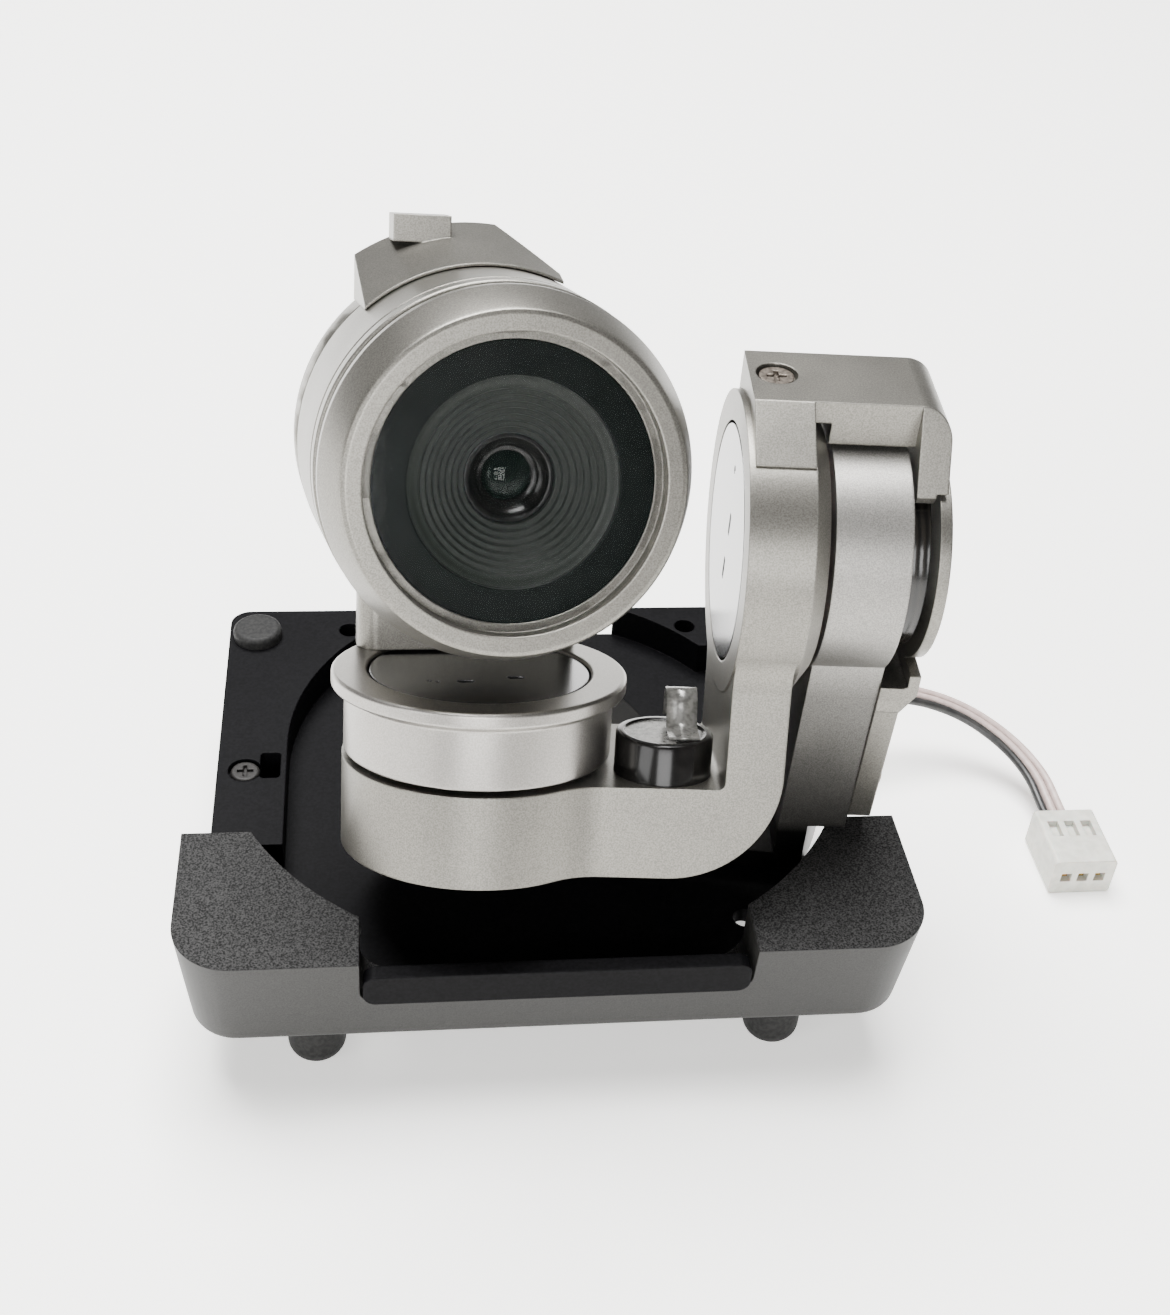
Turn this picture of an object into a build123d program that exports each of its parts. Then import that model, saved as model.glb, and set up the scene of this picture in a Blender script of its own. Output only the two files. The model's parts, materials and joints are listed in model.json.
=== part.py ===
from build123d import *
from math import atan2, cos, degrees, pi, radians, sin, tan
import os

# Three-axis camera gimbal, standing upside down on its four dampers with the camera on top.
# Millimetres. Z is up, the camera looks roughly towards -Y, X is to the right.
# The origin is on the yaw axis, in the plane that the dampers stand on.

os.makedirs("parts", exist_ok=True)

# --- fits -------------------------------------------------------------------------------
running_gap = 0.35          # between pieces that turn past each other
shaft_fit = 0.02            # radial, shaft in its bearing
seat_gap = 0.2              # visible joint round a cap
air_gap = 0.35              # stator to magnets

# --- pose the three axes rest in ----------------------------------------------------------
yaw_turn = -4.3             # degrees about Z
roll_lean = 21.8            # degrees that the roll arm leans back about the roll axis
pitch_turn = 9.6            # degrees that the camera is turned about the pitch axis

# --- places of the axes -------------------------------------------------------------------
roll_axis_y = -5.6          # roll axis in front of the yaw axis
roll_axis_z = 32.3          # roll axis above the feet
pitch_axis_x = -3.95        # pitch axis from the yaw axis, along the roll axis
pitch_axis_y = -0.7         # pitch axis from the roll axis

# --- base -----------------------------------------------------------------------------------
chin_half_width = 23.7      # front shell, at its top
chin_front = 22.0
chin_back = 10.2
chin_top = 12.2
chin_corner = 3.8           # corner radius in plan
skirt_bottom = 4.5
skirt_draft = 6.0           # degrees
shell_wall = 1.2
bay_radius = 21.8           # round clearance in the front shell
notch_half_width = 12.3
notch_sill = 8.5
notch_corner = 0.9
deck_fit = 0.5              # deck inside the front shell
deck_top = 10.9
deck_floor = 8.3            # floor of the bay
deck_bottom = 7.1
deck_back = 15.6
rear_bay_radius = 17.3
deck_corner = 1.5
front_panel_wall = 1.0
lip_back = chin_front - 2.1  # lip behind the front panel
lip_thick = 0.6
lip_joint_half_width = 6.0
window_back = -1.0          # open part of the deck under the yaw arm's foot
window_left = 17.0
window_front_left = -8.4
window_corner_x = 18.3
rim_front_right = 10.5      # front end of the raised rim on the right
deck_screw_place = (-20.1, -2.75)
deck_screw_radius = 0.5
deck_screw_head = 1.0
deck_screw_seat = 0.5
deck_slot_place = (-18.4, -2.3)
deck_slot_size = (1.4, 2.6)

damper_radius = 1.9
damper_neck_radius = 1.1
damper_head_radius = 1.8
damper_head_height = 0.9
front_damper = (15.2, -18.0)
rear_damper = (19.9, 12.4)
cable_clip_right = 17.5
cable_clip_y = 8.0
cable_clip_size = (3.6, 4.4, 2.2)
board_size = (22.0, 3.6, 0.8)
wire_radius = 0.33
wire_pitch = 0.72
plug_size = (4.8, 5.6, 3.2)
plug_x = 41.3
plug_back = -0.8
contact_pitch = 1.3
# middle wire from the clip to the plug: x, y, z, then the side on which the outer wire lies
wire_route = [
    (17.5, 8.0, 6.1, 0.0, 1.0),
    (21.9, 8.0, 6.1, 0.0, 1.0),
    (26.4, 9.4, 6.6, 0.0, 1.0),
    (31.2, 10.2, 6.1, 0.1, 1.0),
    (35.7, 9.6, 4.8, 0.4, 0.9),
    (39.1, 7.4, 3.4, 0.7, 0.7),
    (41.0, 4.4, 2.3, 0.95, 0.3),
    (41.3, 1.4, 1.6, 1.0, 0.0),
    (41.3, -0.8, 1.6, 1.0, 0.0),
]
frame_hole_radius = 0.8     # four screw holes that fasten the deck to the aircraft
frame_hole_x = 13.0
frame_hole_front = -15.5
frame_hole_back = 13.0

# --- motors ---------------------------------------------------------------------------------
teeth = 9
magnet_poles = 12
magnet_thick = 0.6
shaft_radius = 0.75
bearing_outer_radius = 1.75
bearing_width = 1.1
tube_wall = 0.55
core_thick = 1.7
core_ring = 0.9
tooth_width = 0.8
shoe_thick = 0.6
shoe_opening = 0.8
coil_rise = 0.35            # winding above each face of the core and beside each tooth
coil_end_gap = 0.35

yaw_bell_radius = 8.9
yaw_bell_wall = 0.6
yaw_bell_top = 8.6
yaw_bell_bottom = 2.4
yaw_can_wall = 0.8
yaw_can_radius = yaw_bell_radius + 0.7 + yaw_can_wall
yaw_can_bottom = 1.0

# --- yaw arm ----------------------------------------------------------------------------------
web_top = 10.1
strut_left = 16.3
strut_right = 20.8
strut_front_top = -11.2
strut_front_foot = -10.1
strut_back = -1.4
strut_shoulder_z = 27.5
foot_clear_z = 12.6         # underside of the strut outside the bay
foot_radius = 20.9
disc_left = 16.2            # roll motor disc of the yaw arm
disc_right = 20.75
disc_radius = 7.6
cover_outer = 22.3
cover_screw_y = -6.3
cover_screw_rise = 2.1      # above the foot of the strut
cover_screw_radius = 0.7
cover_screw_head = 1.35
plate_left = 22.5
plate_right = 23.2
plate_radius = 6.8
coil_left = 21.1
coil_right = 22.15
coil_radius = 6.0
coil_hub_radius = 2.6
coil_turns = 5
coil_pitch = 0.72
coil_thick = 0.62

# --- roll arm -----------------------------------------------------------------------------------
head_left = 10.9
head_right = 15.8
head_radius = 9.3
head_rim_radius = 8.0
head_rim_width = 1.0
head_bore_radius = 7.4
cap_thick = 1.4
limb_left = 11.0
limb_right = 14.5
arm_half_width = 6.0
arm_blend = 4.5             # plan radius from the round end into the bar
inner_elbow = 0.5
end_radius = 8.45
bar_bottom = -19.7
bar_top = -13.9
elbow_radius = 6.7
limb_blend = 3.5            # side-view radius from the limb into the head
end_floor = 1.2
end_cavity_radius = 7.0
drum_x = 7.5
drum_y = -3.4
drum_radius = 3.0
drum_height = 2.6
drum_base = 0.5

# --- flex bridge --------------------------------------------------------------------------------
bridge_left = 11.25
bridge_right = 22.9
bridge_front = -1.2
bridge_back = 4.7
bridge_top = 10.6
bridge_leg_angle = 61.0     # degrees above the front, where the left leg ends
bridge_round = 1.8
bridge_left_leg = 14.75     # inner face of the left leg
bridge_hook_front = -3.7    # lower end of the right leg
bridge_hook_end = 6.0
screw_depth = 1.95          # bridge screw below its seat
screw_seat = 0.55           # its seat below the top of the bridge
screw_radius = 0.6
screw_head_radius = 1.05
bridge_screw_x = 12.9
bridge_screw_y = 2.0

# --- pitch motor and camera -----------------------------------------------------------------------
flange_top = -8.5
flange_radius = 9.15
flange_thick = 1.1
rotor_radius = 8.35
rotor_bore_radius = 7.5
pitch_cap_radius = 6.95
camera_z = 4.85             # optical axis above the roll axis
bezel_front = 10.4          # in front of the pitch axis
bezel_radius = 10.6
bezel_lip_radius = 9.5      # flat front of the bezel
bezel_slope = 2.9
bezel_back = 6.4
glass_radius = 8.4
glass_ledge = 0.5
glass_thick = 0.8
glass_recess = 0.15
band_radius = 10.25
band_width = 0.6
barrel_radius = 11.0        # at its back
barrel_front_radius = 10.7
barrel_wall = 0.9
barrel_back = -3.6
barrel_groove = 1.2         # distance of the groove from the barrel's front
shroud_radius = 5.95
shroud_steps = 8
shroud_back = 1.6           # behind the bezel
lens_set_back = 1.9         # lens behind the glass
lens_back = 0.6
lens_radius = 2.7
rear_length = 4.4
rear_groove = 0.3
saddle_front = -0.8         # cover over the top of the barrel
saddle_front_radius = 11.15
saddle_back_radius = 13.15
saddle_left = -7.3
saddle_right = 1.3          # top of its sloping right end
saddle_right_foot = 4.4
saddle_foot_z = 7.0
saddle_pad = (3.5, 2.6, 0.4)
saddle_pad_left = 2.1       # pad from the left end of the saddle
saddle_step = (0.7, 1.3, 2.2)
sensor_board_size = (12.0, 0.8)
sensor_size = (7.6, 6.4, 1.1)
mount_size = (10.0, 1.6, 0.8)
bearing_seat = 0.6          # floor under the lower pitch bearing
bracket_front = 4.2         # pedestal under the rear cover, behind the pitch axis
bracket_back = 7.4
bracket_half_width = 7.1


# --- frames and planes ----------------------------------------------------------------------------
def turned(frame, axis_name, angle, at):
    """Frame moved to a local point and turned about one of its own axes."""
    spin = {"x": (angle, 0, 0), "z": (0, 0, angle)}[axis_name]
    return Plane(frame.location * Location(at, spin))


def level(frame, z, x=0.0, y=0.0):
    """Plane parallel to the frame's floor, facing its +Z."""
    return Plane(frame.from_local_coords((x, y, z)), x_dir=frame.x_dir, z_dir=frame.z_dir)


def side(frame, x, y=0.0, z=0.0):
    """Plane square to the frame's X, facing +X; its own axes are the frame's Y and Z."""
    return Plane(frame.from_local_coords((x, y, z)), x_dir=frame.y_dir, z_dir=frame.x_dir)


def front(frame, distance, x=0.0, z=0.0):
    """Plane square to the frame's Y, facing forwards, at a distance in front of its origin."""
    return Plane(frame.from_local_coords((x, -distance, z)), x_dir=frame.x_dir, z_dir=-frame.y_dir)


base_frame = Plane.XY
yaw_frame = turned(base_frame, "z", yaw_turn, (0, 0, 0))
bridge_frame = turned(yaw_frame, "x", 0, (0, roll_axis_y, roll_axis_z))
roll_frame = turned(bridge_frame, "x", -roll_lean, (0, 0, 0))
pitch_frame = turned(roll_frame, "z", 0, (pitch_axis_x, pitch_axis_y, 0))
camera_frame = turned(pitch_frame, "z", pitch_turn, (0, 0, camera_z))


def save(piece, label):
    piece.part.label = label
    export_step(piece.part, f"parts/{label}.step")


# --- motor pieces: each is built from a plane whose normal is the motor's axis --------------------
def tooth_radii(tip):
    """Radii between which a stator tooth runs: core ring outside, inner side of its shoe."""
    return bearing_outer_radius + tube_wall + core_ring, tip - shoe_thick


def stator_core(plane, tip):
    """Laminated core on the bearing tube: a ring, teeth, and a shoe at the end of each tooth."""
    root, shoe = tooth_radii(tip)
    with BuildPart() as core:
        with BuildSketch(plane):
            Circle(tip)
            Circle(shoe, mode=Mode.SUBTRACT)
            with PolarLocations((tip + shoe) / 2, teeth, start_angle=180 / teeth):
                Rectangle(2 * shoe_thick, shoe_opening, mode=Mode.SUBTRACT)
            with PolarLocations((root + shoe) / 2, teeth):
                Rectangle(shoe - root + shoe_thick, tooth_width)
            Circle(root)
            Circle(bearing_outer_radius + tube_wall, mode=Mode.SUBTRACT)
        extrude(amount=core_thick)
    return core


def stator_windings(plane, tip):
    """One copper coil round each tooth."""
    root, shoe = tooth_radii(tip)
    with BuildPart() as coils:
        with BuildSketch(plane.offset(-coil_rise)):
            with PolarLocations((root + shoe) / 2, teeth):
                Rectangle(shoe - root - coil_end_gap, tooth_width + 2 * coil_rise)
        extrude(amount=core_thick + 2 * coil_rise)
        with BuildSketch(plane):
            with PolarLocations((root + shoe) / 2, teeth):
                Rectangle(shoe - root, tooth_width)
        extrude(amount=core_thick, mode=Mode.SUBTRACT)
    return coils


def magnet_ring(plane, outer, length):
    """Row of magnets glued inside a rotor, a pole apart."""
    with BuildPart() as ring:
        with BuildSketch(plane):
            Circle(outer)
            Circle(outer - magnet_thick, mode=Mode.SUBTRACT)
            with PolarLocations(outer - magnet_thick / 2, magnet_poles):
                Rectangle(2 * magnet_thick, 0.25, mode=Mode.SUBTRACT)
        extrude(amount=length)
    return ring


def bearing_pair(plane, gap):
    """Two shielded bearings, each a grooved ring, with a gap between them."""
    with BuildPart() as pair:
        for height in (0, bearing_width + gap):
            with BuildSketch(plane.offset(height)):
                Circle(bearing_outer_radius)
                Circle(shaft_radius + shaft_fit, mode=Mode.SUBTRACT)
            extrude(amount=bearing_width)
            for shield in (height, height + bearing_width - 0.12):
                with BuildSketch(plane.offset(shield)):
                    Circle(bearing_outer_radius - 0.25)
                    Circle(shaft_radius + 0.3, mode=Mode.SUBTRACT)
                extrude(amount=0.12, mode=Mode.SUBTRACT)
    return pair


# --- front shell ----------------------------------------------------------------------------------
skirt_inset = (chin_top - skirt_bottom) * tan(radians(skirt_draft))

with BuildPart() as front_shell:
    with BuildSketch(Plane.XY.offset(skirt_bottom)):
        with Locations((0, -(chin_front - skirt_inset) / 2)):
            Rectangle(2 * (chin_half_width - skirt_inset), chin_front - skirt_inset)
        fillet(vertices().group_by(Axis.Y)[0], chin_corner - skirt_inset)
    extrude(amount=chin_top - skirt_bottom, taper=-skirt_draft)
    # open back
    with BuildSketch(Plane.XY.offset(skirt_bottom)):
        with Locations((0, chin_front / 2 - chin_back)):
            Rectangle(2 * chin_half_width + 2, chin_front)
    extrude(amount=chin_top, mode=Mode.SUBTRACT)
    fillet(front_shell.edges().filter_by(GeomType.LINE).group_by(Axis.Z)[0].group_by(Axis.Y)[0], 0.9)
    # room for the deck, up to the floor of the bay
    with BuildSketch(Plane.XY.offset(skirt_bottom)):
        with Locations((0, -(chin_front - skirt_inset - shell_wall) / 2)):
            Rectangle(2 * (chin_half_width - skirt_inset - shell_wall), chin_front - skirt_inset - shell_wall)
        fillet(vertices().group_by(Axis.Y)[0], chin_corner - shell_wall)
    extrude(amount=deck_floor - skirt_bottom, mode=Mode.SUBTRACT)
    # bay and front notch
    with BuildSketch(Plane.XY.offset(deck_floor)):
        Circle(bay_radius)
    extrude(amount=chin_top, mode=Mode.SUBTRACT)
    with BuildSketch(front(base_frame, chin_back, z=notch_sill)):
        with Locations((0, chin_top / 2)):
            RectangleRounded(2 * notch_half_width, chin_top, notch_corner)
    extrude(amount=chin_front, mode=Mode.SUBTRACT)
    # pockets over the heads of the front dampers
    with BuildSketch(Plane.XY.offset(deck_floor)):
        with Locations((-front_damper[0], front_damper[1]), front_damper):
            Circle(damper_head_radius + running_gap)
    extrude(amount=damper_head_height + running_gap, mode=Mode.SUBTRACT)

# --- inner deck -----------------------------------------------------------------------------------
deck_half_width = chin_half_width - shell_wall - deck_fit
chin_deck_half_width = chin_half_width - skirt_inset - shell_wall - deck_fit
deck_front = chin_front - skirt_inset - shell_wall - deck_fit / 2
panel_front = chin_front - 0.1
panel_half_width = notch_half_width - 0.2
damper_spots = [(sign * x, y) for x, y in (front_damper, rear_damper) for sign in (-1, 1)]
frame_hole_spots = [(sign * frame_hole_x, y) for y in (frame_hole_front, frame_hole_back) for sign in (-1, 1)]

with BuildPart() as inner_deck:
    with BuildSketch(Plane.XY.offset(deck_bottom)):
        with Locations((0, (deck_back - chin_back) / 2)):
            Rectangle(2 * deck_half_width, deck_back + chin_back - 0.2)
        with Locations((0, -(deck_front + chin_back) / 2 + 0.2)):
            Rectangle(2 * chin_deck_half_width, deck_front - chin_back + 0.4)
        fillet(vertices().group_by(Axis.Y)[0], chin_corner - shell_wall)
        fillet(vertices().group_by(Axis.Y)[-1], deck_corner)
    extrude(amount=deck_floor - deck_bottom)
    # raised rim behind the front shell, round the bay
    with BuildSketch(Plane.XY.offset(deck_floor)):
        with Locations((0, (deck_back - chin_back) / 2)):
            Rectangle(2 * deck_half_width, deck_back + chin_back - 0.2)
        fillet(vertices().group_by(Axis.Y)[-1], deck_corner)
        Circle(rear_bay_radius, mode=Mode.SUBTRACT)
        with Locations((-rear_bay_radius / 2, -chin_front / 2)):
            Rectangle(rear_bay_radius, chin_front, mode=Mode.SUBTRACT)
        with Locations((chin_half_width / 2, rim_front_right - chin_front)):
            Rectangle(chin_half_width, 2 * chin_front, mode=Mode.SUBTRACT)
    extrude(amount=deck_top - deck_floor)
    # front panel in the notch
    with BuildSketch(front(base_frame, panel_front - front_panel_wall, z=deck_floor)):
        with Locations((0, (deck_top - notch_sill) / 2 + notch_sill - deck_floor)):
            RectangleRounded(2 * panel_half_width, deck_top - notch_sill, notch_corner - 0.1)
    extrude(amount=front_panel_wall)
    # lip behind the panel, and the block that joins it to the floor
    with BuildSketch(Plane.XY.offset(notch_sill)):
        with Locations((0, -(panel_front + lip_back) / 2)):
            Rectangle(2 * (panel_half_width - notch_corner), panel_front - lip_back)
    extrude(amount=lip_thick)
    with BuildSketch(Plane.XY.offset(deck_floor)):
        with Locations((0, -(lip_back + deck_front) / 2)):
            Rectangle(2 * lip_joint_half_width, lip_back - deck_front + 0.6)
    extrude(amount=notch_sill + lip_thick - deck_floor)
    # hole for the yaw motor, open corner under the foot of the yaw arm
    with BuildSketch(Plane.XY.offset(deck_bottom)):
        Circle(yaw_bell_radius + running_gap)
        with BuildLine():
            Polyline((window_left, window_front_left), (window_corner_x, -chin_back + 0.1),
                     (chin_half_width, -chin_back + 0.1), (chin_half_width, window_back),
                     (window_left, window_back), close=True)
        make_face()
        with Locations(*damper_spots):
            Circle(damper_neck_radius)
        with Locations(*frame_hole_spots):
            Circle(frame_hole_radius)
    extrude(amount=deck_top, mode=Mode.SUBTRACT)
    # slot and screw hole in the left rim, small slot in the back rim
    with BuildSketch(Plane.XY.offset(deck_floor)):
        with Locations(deck_slot_place):
            RectangleRounded(deck_slot_size[0], deck_slot_size[1], 0.3)
    extrude(amount=deck_top, mode=Mode.SUBTRACT)
    with Locations((*deck_screw_place, deck_top)):
        CounterBoreHole(deck_screw_radius + 0.05, deck_screw_head + 0.15, deck_screw_seat,
                        deck_top - deck_bottom)

with BuildPart() as deck_screw:
    with BuildSketch(Plane.XY.offset(deck_top - deck_screw_seat)):
        with Locations(deck_screw_place):
            Circle(deck_screw_head)
    extrude(amount=deck_screw_seat - 0.05)
    fillet(deck_screw.edges().group_by(Axis.Z)[-1], 0.2)
    with BuildSketch(Plane.XY.offset(deck_top - deck_screw_seat)):
        with Locations(deck_screw_place):
            Circle(deck_screw_radius)
    extrude(amount=-2.6)
    with BuildSketch(Plane.XY.offset(deck_top)):
        with Locations(deck_screw_place):
            Rectangle(1.1, 0.25)
            Rectangle(0.25, 1.1)
    extrude(amount=-0.3, mode=Mode.SUBTRACT)

# --- dampers: domed foot below the deck, neck through it, head on top -----------------------------
with BuildPart() as rubber_dampers:
    for spot, seat in zip(damper_spots, (deck_floor, deck_floor, deck_top, deck_top)):
        with BuildSketch(Plane.XY):
            with Locations(spot):
                Circle(damper_radius)
        extrude(amount=deck_bottom)
        with BuildSketch(Plane.XY.offset(deck_bottom)):
            with Locations(spot):
                Circle(damper_neck_radius)
        extrude(amount=seat - deck_bottom)
        with BuildSketch(Plane.XY.offset(seat)):
            with Locations(spot):
                Circle(damper_head_radius)
        extrude(amount=damper_head_height)
    fillet(rubber_dampers.edges().group_by(Axis.Z)[0], 1.2)
    fillet(rubber_dampers.edges().group_by(Axis.Z)[-1], 0.4)

# --- yaw motor, under the deck --------------------------------------------------------------------
yaw_core_z = 4.1
yaw_core_tip = yaw_bell_radius - yaw_bell_wall - magnet_thick - air_gap
yaw_tube_bottom = yaw_can_bottom + yaw_can_wall
yaw_bearing_gap = 2.6

with BuildPart() as yaw_motor_can:
    with BuildSketch(Plane.XY.offset(yaw_can_bottom)):
        Circle(yaw_can_radius)
    extrude(amount=deck_bottom - yaw_can_bottom)
    with BuildSketch(Plane.XY.offset(yaw_tube_bottom)):
        Circle(yaw_can_radius - yaw_can_wall)
        Circle(bearing_outer_radius + tube_wall, mode=Mode.SUBTRACT)
    extrude(amount=deck_bottom, mode=Mode.SUBTRACT)
    with BuildSketch(Plane.XY.offset(yaw_tube_bottom)):
        Circle(bearing_outer_radius)
    extrude(amount=deck_bottom, mode=Mode.SUBTRACT)
    fillet(yaw_motor_can.edges().group_by(Axis.Z)[0], 0.6)

yaw_stator_core = stator_core(Plane.XY.offset(yaw_core_z), yaw_core_tip)
yaw_windings = stator_windings(Plane.XY.offset(yaw_core_z), yaw_core_tip)
yaw_magnets = magnet_ring(Plane.XY.offset(yaw_core_z - 0.5), yaw_bell_radius - yaw_bell_wall, core_thick + 1)
yaw_bearings = bearing_pair(Plane.XY.offset(yaw_tube_bottom), yaw_bearing_gap)

with BuildPart() as yaw_rotor:
    with BuildSketch(Plane.XY.offset(yaw_bell_bottom)):
        Circle(yaw_bell_radius)
    extrude(amount=yaw_bell_top - yaw_bell_bottom)
    with BuildSketch(Plane.XY.offset(yaw_bell_bottom)):
        Circle(yaw_bell_radius - yaw_bell_wall)
    extrude(amount=yaw_bell_top - yaw_bell_bottom - 1.0, mode=Mode.SUBTRACT)
    with BuildSketch(Plane.XY.offset(yaw_tube_bottom + 0.1)):
        Circle(shaft_radius)
    extrude(until=Until.NEXT)

# --- control board and cable clip under the deck --------------------------------------------------
with BuildPart() as control_board:
    with BuildSketch(Plane.XY.offset(deck_bottom - board_size[2])):
        with Locations((0, yaw_can_radius + 0.4 + board_size[1] / 2)):
            Rectangle(board_size[0], board_size[1])
        with Locations(*frame_hole_spots):
            Circle(frame_hole_radius + 1.0, mode=Mode.SUBTRACT)
    extrude(amount=board_size[2])

with BuildPart() as board_chips:
    with BuildSketch(Plane.XY.offset(deck_bottom - board_size[2])):
        for x, width in ((-8.0, 3.0), (-3.4, 2.6), (0.6, 2.0), (6.2, 4.4)):
            with Locations((x, yaw_can_radius + 0.4 + board_size[1] / 2)):
                Rectangle(width, 2.2)
    extrude(amount=-0.9)

with BuildPart() as cable_clip:
    with BuildSketch(Plane.XY.offset(deck_bottom)):
        with Locations((cable_clip_right - cable_clip_size[0] / 2, cable_clip_y)):
            RectangleRounded(cable_clip_size[0], cable_clip_size[1], 0.4)
    extrude(amount=-cable_clip_size[2])


# --- three-wire cable -----------------------------------------------------------------------------
def wire(place):
    """Wire number -1, 0 or 1, from the clip to the plug, with every bend as large as its runs allow."""
    offset = place * wire_pitch
    points = [Vector(x + offset * dx, y + offset * dy, z) for x, y, z, dx, dy in wire_route]
    runs = [b - a for a, b in zip(points, points[1:])]
    turns = [before.get_angle(after) for before, after in zip(runs, runs[1:])]
    radii = [
        0.45 * min(before.length, after.length) / tan(radians(turn) / 2)
        for before, after, turn in zip(runs, runs[1:], turns)
    ]
    with BuildPart() as tube:
        with BuildLine() as path:
            FilletPolyline(*points, radius=radii)
        with BuildSketch(Plane(points[0], z_dir=runs[0])):
            Circle(wire_radius)
        sweep(path=path.wires()[0])
    length = path.wires()[0].length
    print("wire", place, "length", round(length, 2), "radii", [round(r, 1) for r in radii])
    print("  volume over section times length", round(tube.part.volume / (pi * wire_radius**2 * length), 4))
    return tube


wires = {"signal_wire_inner": wire(-1), "signal_wire_middle": wire(0), "signal_wire_outer": wire(1)}

with BuildPart() as plug_housing:
    with BuildSketch(Plane.XY):
        with Locations((plug_x, plug_back - plug_size[1] / 2)):
            Rectangle(plug_size[0], plug_size[1])
    extrude(amount=plug_size[2])
    fillet(plug_housing.edges().filter_by(Axis.Y), 0.3)
    with BuildSketch(Plane.XY.offset(plug_size[2])):
        with Locations(*[(plug_x + k * contact_pitch, plug_back - 2.0) for k in (-1, 0, 1)]):
            Rectangle(0.8, 1.6)
    extrude(amount=-0.5, mode=Mode.SUBTRACT)
    with BuildSketch(front(base_frame, -plug_back + plug_size[1] - 2.4, z=wire_route[-1][2])):
        with Locations(*[(plug_x + k * contact_pitch, 0) for k in (-1, 0, 1)]):
            Rectangle(0.8, 0.8)
    extrude(amount=2.4, mode=Mode.SUBTRACT)

with BuildPart() as plug_contacts:
    with BuildSketch(front(base_frame, -plug_back + plug_size[1] - 2.4, z=wire_route[-1][2])):
        with Locations(*[(plug_x + k * contact_pitch, 0) for k in (-1, 0, 1)]):
            Rectangle(0.5, 0.5)
    extrude(amount=2.0)


# --- yaw arm: hub and web in the bay, strut, roll motor disc --------------------------------------
leg_middle_x = (strut_left + strut_right) / 2

with BuildPart() as yaw_arm:
    with BuildSketch(level(yaw_frame, yaw_bell_top)):
        Circle(yaw_bell_radius)
        with BuildLine():
            Polyline((-2.0, yaw_bell_radius - 0.3), (leg_middle_x, strut_back),
                     (strut_left + 3.4, strut_front_foot),
                     (strut_left, strut_front_foot), (2.0, -yaw_bell_radius + 0.3), close=True)
        make_face()
    extrude(amount=web_top - yaw_bell_top)
    with BuildSketch(side(yaw_frame, strut_left)):
        with BuildLine():
            Polyline((strut_front_foot, yaw_bell_top), (strut_front_foot, foot_clear_z),
                     (strut_front_top, strut_shoulder_z), (strut_back, strut_shoulder_z),
                     (strut_back, yaw_bell_top), close=True)
        make_face()
    extrude(amount=strut_right - strut_left)
    with BuildSketch(level(yaw_frame, yaw_bell_top)):
        Circle(2 * bay_radius)
        Circle(foot_radius, mode=Mode.SUBTRACT)
    extrude(amount=foot_clear_z - yaw_bell_top, mode=Mode.SUBTRACT)
    with BuildSketch(side(yaw_frame, disc_left, roll_axis_y, roll_axis_z)):
        Circle(disc_radius)
    extrude(amount=disc_right - disc_left)
    with BuildSketch(side(yaw_frame, disc_left, roll_axis_y, roll_axis_z)):
        Circle(bearing_outer_radius + tube_wall)
    extrude(amount=head_left + cap_thick + running_gap - disc_left)
    with BuildSketch(side(yaw_frame, head_left + cap_thick + running_gap, roll_axis_y, roll_axis_z)):
        Circle(bearing_outer_radius)
    extrude(amount=disc_right - head_left - cap_thick - running_gap - 1.0, mode=Mode.SUBTRACT)

with BuildPart() as yaw_arm_cover:
    strip_top = roll_axis_z - coil_radius - 0.7
    with BuildSketch(side(yaw_frame, strut_right)):
        with BuildLine():
            Polyline((strut_front_foot - 0.1, foot_clear_z + 1.2), (strut_front_top - 0.1, strip_top),
                     (strut_back, strip_top), (strut_back, foot_clear_z + 0.4),
                     (strut_front_foot + 1.4, foot_clear_z), close=True)
        make_face()
    extrude(amount=cover_outer - strut_right)
    with BuildSketch(side(yaw_frame, plate_left, roll_axis_y, roll_axis_z)):
        Circle(plate_radius)
    extrude(amount=plate_right - plate_left)
    with BuildSketch(front(yaw_frame, -strut_back)):
        with BuildLine():
            Polyline((strut_right, strip_top - 0.4), (strut_right, strip_top), (plate_left, strip_top),
                     (plate_left, strip_top + 0.9), (plate_right, strip_top + 0.9),
                     (plate_right, strip_top - 0.6),
                     (cover_outer, strip_top - 2.0), (strut_right, strip_top - 2.0), close=True)
        make_face()
    extrude(amount=strut_back - strut_front_top)
    with BuildSketch(side(yaw_frame, cover_outer + 1, cover_screw_y, foot_clear_z + cover_screw_rise)):
        Circle(cover_screw_radius)
    extrude(amount=-3, mode=Mode.SUBTRACT)

with BuildPart() as cover_screw:
    with BuildSketch(side(yaw_frame, cover_outer, cover_screw_y, foot_clear_z + cover_screw_rise)):
        Circle(cover_screw_head)
    extrude(amount=1.1)
    fillet(cover_screw.edges().sort_by(Axis((0, 0, 0), yaw_frame.x_dir))[-1], 0.4)
    with BuildSketch(side(yaw_frame, cover_outer, cover_screw_y, foot_clear_z + cover_screw_rise)):
        Circle(cover_screw_radius)
    extrude(amount=strut_right - cover_outer)
    with BuildSketch(side(yaw_frame, cover_outer + 0.6, cover_screw_y, foot_clear_z + cover_screw_rise)):
        Rectangle(1.3, 0.3)
        Rectangle(0.3, 1.3)
    extrude(amount=1, mode=Mode.SUBTRACT)

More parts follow.
